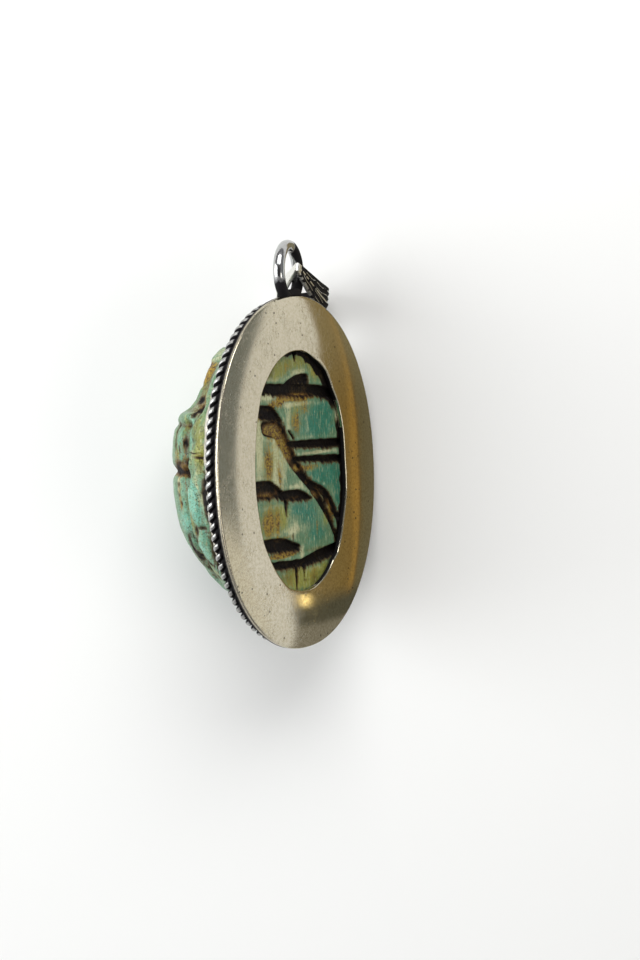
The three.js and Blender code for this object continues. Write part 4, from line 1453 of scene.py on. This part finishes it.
@dataclass
class LeafBail:
    """A leaf-shaped strip folded into a long loop, with a rib and veins down the leaf."""

    apex: Place = (0.16, 20.19, 0.65)
    down: Place = (0.737, -0.376, -0.562)
    across: Place = (0.554, -0.139, 0.821)
    strip: float = 0.4
    leg_length: float = 9.4
    leaf_spread: float = 2.75
    tail_spread: float = 2.85
    tail_bow: float = 0.2
    fold_depth: float = 1.35
    tip_half_width: float = 0.42
    leaf_half_width: float = 1.9
    tail_half_width: float = 1.25
    leaf_share: float = 0.42
    rib_height: float = 0.14
    rib_width: float = 0.09
    vein_height: float = 0.09
    vein_width: float = 0.055
    vein_pitch: float = 0.56
    vein_lean: float = 0.15
    vein_wave: float = 0.12
    border_height: float = 0.07
    steps: int = 380
    width_steps: int = 88

    def _half_width(self, share: np.ndarray) -> np.ndarray:
        """Half-width of the strip at a share of the way round, from the tip down the leaf."""
        leaf = mix(self.tip_half_width, self.leaf_half_width, np.minimum(share / 0.4, 1.0))
        tail = mix(self.tip_half_width, self.tail_half_width, np.minimum((1.0 - share) / 0.4, 1.0))
        return mix(leaf, tail, ease(self.leaf_share, 0.62, share))

    def _outline(self) -> np.ndarray:
        """The folded strip's middle line: place down the bail and place across it."""

        def leg(share: float, spread: float, bow: float = 0.0) -> tuple[float, float]:
            return self.leg_length * share, spread * share * (1.0 - bow * share)

        leaf, tail = self.leaf_spread, -self.tail_spread
        fold = self.leg_length + self.fold_depth * 0.72
        points = [(0.0, 0.0), *[leg(share, leaf) for share in (0.06, 0.35, 0.7, 0.97)], (fold, leaf * 0.72)]
        points += [(self.leg_length + self.fold_depth, 0.0), (fold, tail * (1.0 - self.tail_bow) * 0.72)]
        points += [leg(share, tail, self.tail_bow) for share in (0.97, 0.7, 0.35, 0.06)]
        line = smooth_line(points, 4000, True)
        return evenly(np.vstack([line, line[:1]]), self.steps)

    def build(self) -> bpy.types.Object:
        """Builds and dresses the bail.

        Returns:
            The finished piece.
        """
        down = unit(np.array(self.down))
        across = unit(np.array(self.across) - np.dot(self.across, down) * down)
        wide = -np.cross(down, across)
        line = self._outline()
        tangent = tangents(line)
        outside = np.stack([-tangent[:, 1], tangent[:, 0]], -1)
        share = (np.arange(self.steps) / self.steps)[:, None]
        half = self._half_width(share)
        side = np.linspace(-1.0, 1.0, self.width_steps + 1)[None, :]
        veins, leaf = self._veins(share, side * half)
        edge = np.sqrt(np.clip(1.0 - ((np.abs(side) - 0.9) / 0.1).clip(0.0, 1.0) ** 2, 0.0, 1.0))
        top = 0.5 * self.strip * edge + veins
        under = -0.5 * self.strip * edge[:, ::-1]
        lift = np.hstack([top, (under + 0.0 * top)[:, 1:-1]])
        across_strip = np.hstack([side * half, (side[:, ::-1] * half)[:, 1:-1]])
        flat = line[:, None, :] + outside[:, None, :] * lift[..., None]
        grid = np.array(self.apex) + flat[..., :1] * down + flat[..., 1:] * across
        grid = grid + across_strip[..., None] * wide
        face = grid[:, : self.width_steps + 1]
        crest = ease(0.045, 0.085, veins) * ease(-0.7, 0.1, Unevenness(0.5, 52, 2).at(face))
        dark_top = np.where(leaf > 0.5, 1.0 - 0.95 * crest, 0.1)
        # The strip's inner face is darkened unevenly: painted shade inside the loop.
        painted_loop_shade = limited(0.58 + 0.16 * Unevenness(1.2, 51, 4).at(face), 1.0)
        skin = Skin()
        skin.add(grid, dark=np.hstack([dark_top, painted_loop_shade[:, 1:-1]]))
        piece = skin.build("leaf_bail")
        Silver("bail_silver", metal=(0.86, 0.85, 0.8, 1.0), polish=0.22, mottle=0.25).dress(piece)
        return hand_over(piece, "bail")

    def _veins(self, share: np.ndarray, side: np.ndarray) -> tuple[np.ndarray, np.ndarray]:
        """Height of the rib and veins on the leaf's outer face.

        Args:
            share: Share of the way round the strip.
            side: Distance from the strip's middle.

        Returns:
            The height in millimetres, and 1 on the leaf.
        """
        leaf = ease(0.01, 0.05, share) * ease(self.leaf_share + 0.05, self.leaf_share, share) + 0.0 * side
        off = np.abs(side)
        rib = self.rib_height * bump(side, 0.0, self.rib_width)
        down = share / self.leaf_share * self.leg_length
        fan = (off - self.vein_lean * down) / self.vein_pitch + self.vein_wave * np.sin(2.3 * down)
        aside = ((fan + 0.5) % 1.0 - 0.5) * self.vein_pitch
        veins = self.vein_height * bump(aside, 0.0, self.vein_width) * ease(0.1, 0.2, off)
        border = self.border_height * ease(0.16, 0.06, self._half_width(share) - off)
        return leaf * np.maximum(np.maximum(rib, veins), border), leaf


# ---------------------------------------------------------------- studio


@dataclass
class Studio:
    """The floor, the soft lights and the camera over the lying pendant."""

    distance: float = 200.0
    focal_length: float = 75.9
    sensor: float = 36.0
    turns: Place = (52.2, 5.1, 2.51)
    shift: tuple[float, float] = (0.021, -0.0076)
    floor_size: float = 3.0

    card_place: float = 12.5  # the warm card's distance to the right, in millimetres
    card_foot: float = 9.0
    card_height: float = 9.8
    far_card_place: float = 100.0
    far_card_height: float = 40.0

    # Brass tones up the warm card: share of its height, and the tone.
    BRASS = (
        (0.0, (0.18, 0.16, 0.095, 1.0)), (0.16, (0.18, 0.155, 0.085, 1.0)), (0.19, (0.11, 0.075, 0.028, 1.0)),
        (0.22, (0.46, 0.28, 0.07, 1.0)), (0.285, (0.42, 0.26, 0.065, 1.0)), (0.32, (0.25, 0.165, 0.05, 1.0)),
        (0.48, (0.26, 0.185, 0.065, 1.0)), (1.0, (0.3, 0.235, 0.11, 1.0)),
    )
    # Tones along the warm card: where each starts and is full, in millimetres, its share, and the tone.
    WARM_TONES = (
        (2.0, 12.0, 0.5, (0.4, 0.35, 0.21, 1.0)),
        (-15.5, -18.0, 1.0, (0.1, 0.097, 0.068, 1.0)),
        (-19.6, -21.0, 1.0, (0.27, 0.255, 0.21, 1.0)),
    )
    # A bright spot on the warm card: a painted golden highlight in the plate.
    SPOT = (3.2, 2.5, 1.1, 1.0)
    SPOT_PLACE = (-16.9, 8.6)
    FAR_TONES = ((0.235, 0.255, 0.25, 1.0), (0.82, 0.8, 0.72, 1.0))

    def build(self) -> None:
        """Sets up the whole studio."""
        self._camera()
        self._floor()
        self._lights()
        self._cards()
        self._air()
        log.info("studio: floor, lights and camera")

    def _camera(self) -> None:
        """Looks down on the pendant, tilted as it lies."""
        about_y, about_x, about_z = np.radians(self.turns)
        turned = Matrix.Rotation(about_z, 3, "Z") @ Matrix.Rotation(about_x, 3, "X")
        turned = turned @ Matrix.Rotation(about_y, 3, "Y")
        to_world = Matrix(AXES.turn) @ turned.transposed()
        camera = bpy.data.cameras.new("camera")
        camera.lens = self.focal_length
        camera.sensor_width = self.sensor
        camera.shift_x, camera.shift_y = self.shift
        camera.clip_start = 0.01
        made = link("camera", camera)
        place = Vector(AXES.origin) * MM + to_world @ Vector((0.0, 0.0, self.distance * MM))
        made.matrix_world = Matrix.Translation(place) @ to_world.to_4x4()
        bpy.context.scene.camera = made

    def _floor(self) -> None:
        """A plain pale sheet under the pendant."""
        far = self.floor_size / 2.0
        corners = [(-far, -far, 0), (far, -far, 0), (far, far, 0), (-far, far, 0)]
        mesh = bpy.data.meshes.new("floor")
        mesh.from_pydata(corners, [], [(0, 1, 2, 3)])
        floor = link("floor", mesh)
        paint = Palette("pale_floor")
        paint.set(Base_Color=(0.86, 0.86, 0.85, 1.0), Roughness=0.9, Specular_IOR_Level=0.1)
        paint.dress(floor)

    @staticmethod
    def _lamp(name: str, place: Place, size: tuple[float, float], power: float, tint: Place) -> None:
        """One soft rectangular light that looks at the pendant.

        Args:
            name: The light's name.
            place: Where it hangs, in metres.
            size: Its width and height, in metres.
            power: Its power in watts.
            tint: Its red, green and blue.
        """
        light = bpy.data.lights.new(name, "AREA")
        light.shape = "RECTANGLE"
        light.size, light.size_y = size
        light.energy = power
        light.color = tint
        made = link(name, light)
        made.location = place
        made.rotation_mode = "QUATERNION"
        made.rotation_quaternion = (Vector((0.0, 0.0, 0.01)) - Vector(place)).to_track_quat("-Z", "Y")
        made.visible_camera = False

    def _lights(self) -> None:
        """A large soft light from the left, one from beyond the ring, and a faint one from the right."""
        self._lamp("left_softbox", (-0.4, 0.04, 0.24), (0.32, 0.45), 2.3, (0.97, 0.99, 1.0))
        self._lamp("top_softbox", (0.04, 0.36, 0.34), (0.45, 0.25), 1.9, (1.0, 1.0, 0.99))
        self._lamp("right_softbox", (0.34, -0.1, 0.34), (0.2, 0.2), 0.35, (1.0, 0.95, 0.86))

    @staticmethod
    def _card(name: str, corners: list[Place], faces: list[tuple[int, ...]], paint: Palette) -> None:
        """Stands up a glowing sheet, no lamp, that is seen only in what the silver mirrors: a painted
        reflection.

        Args:
            name: The sheet's name.
            corners: Its corners in millimetres.
            faces: The corners of each face.
            paint: Its glowing material.
        """
        mesh = bpy.data.meshes.new(name)
        mesh.from_pydata([tuple(c * MM for c in corner) for corner in corners], [], faces)
        card = link(name, mesh)
        paint.set(Base_Color=(0.0, 0.0, 0.0, 1.0), Roughness=1.0, Emission_Strength=1.0)
        paint.dress(card)
        for ray in ("camera", "diffuse", "shadow", "transmission"):
            setattr(card, f"visible_{ray}", False)

    def _cards(self) -> None:
        """Glowing cards, no lamps, for painted reflections in the silver: a brass-brown one close by on the
        right, with a bright spot for a painted golden highlight, and a grey one far off.
        """
        paint = Palette("warm_card")
        along, level = paint.coordinate(1), paint.coordinate(2)
        tint = paint.node("ShaderNodeValToRGB", {"stops": self.BRASS}, {0: level * (1.0 / self.card_height)})
        for start, full, share, tone in self.WARM_TONES:
            tint = paint.blend(along.step(start, full) * share, tint, tone)
        across, up = along - self.SPOT_PLACE[0], level - self.SPOT_PLACE[1]
        spot = (across * across * 1.3 + up * up * 2.4).step(1.0, 0.1)
        paint.set(Emission_Color=paint.blend(spot, tint, self.SPOT))
        right, foot, low, high = self.card_place, self.card_foot, 6.0, self.card_height
        edge = [(29.0, low), (-9.5, low), (-11.5, high), (-32.0, high)]
        corners = [(right, y, z) for y, z in edge] + [(right, y, 0.03) for y, _ in edge]
        corners += [(foot, y, 0.03) for y in (22.0, -9.5, -11.5, -22.0)]
        faces = [(0, 1, 5, 4), (1, 2, 6, 5), (2, 3, 7, 6), (4, 5, 9, 8), (5, 6, 10, 9), (6, 7, 11, 10)]
        self._card("warm_card", corners, faces, paint)
        paint = Palette("far_card")
        paint.set(Emission_Color=paint.blend(paint.coordinate(1).step(-16.0, -27.0), *self.FAR_TONES))
        far, high = self.far_card_place, self.far_card_height
        corners = [(far, -60.0, 0.0), (far, 60.0, 0.0), (far, 60.0, high), (far, -60.0, high)]
        self._card("far_card", corners, [(0, 1, 2, 3)], paint)

    @staticmethod
    def _air() -> None:
        """A grey room, darker overhead."""
        world = bpy.data.worlds.new("studio")
        world.use_nodes = True
        tree = world.node_tree
        where = tree.nodes.new("ShaderNodeTexCoord")
        parts = tree.nodes.new("ShaderNodeSeparateXYZ")
        ramp = tree.nodes.new("ShaderNodeValToRGB")
        tree.links.new(where.outputs["Generated"], parts.inputs[0])
        tree.links.new(parts.outputs[2], ramp.inputs[0])
        tree.links.new(ramp.outputs[0], tree.nodes["Background"].inputs["Color"])
        for element, (position, level) in zip(ramp.color_ramp.elements, ((0.0, 0.2), (0.93, 0.05))):
            element.position = position
            element.color = (level, level, level * 1.03, 1.0)
        middle = ramp.color_ramp.elements.new(0.6)
        middle.color = (0.34, 0.34, 0.35, 1.0)
        tree.nodes["Background"].inputs["Strength"].default_value = 1.0
        bpy.context.scene.world = world
        bpy.context.scene.view_settings.view_transform = "Standard"


def main() -> None:
    """Builds the pendant piece by piece, then the studio round it."""
    logging.basicConfig(level=logging.INFO, format="%(name)s: %(message)s")
    for part in (Beetle(), BackPlate(), Bezel(), RopeBorder(), SolderedRing(), LeafBail(), Studio()):
        part.build()


if __name__ == "__main__":
    main()
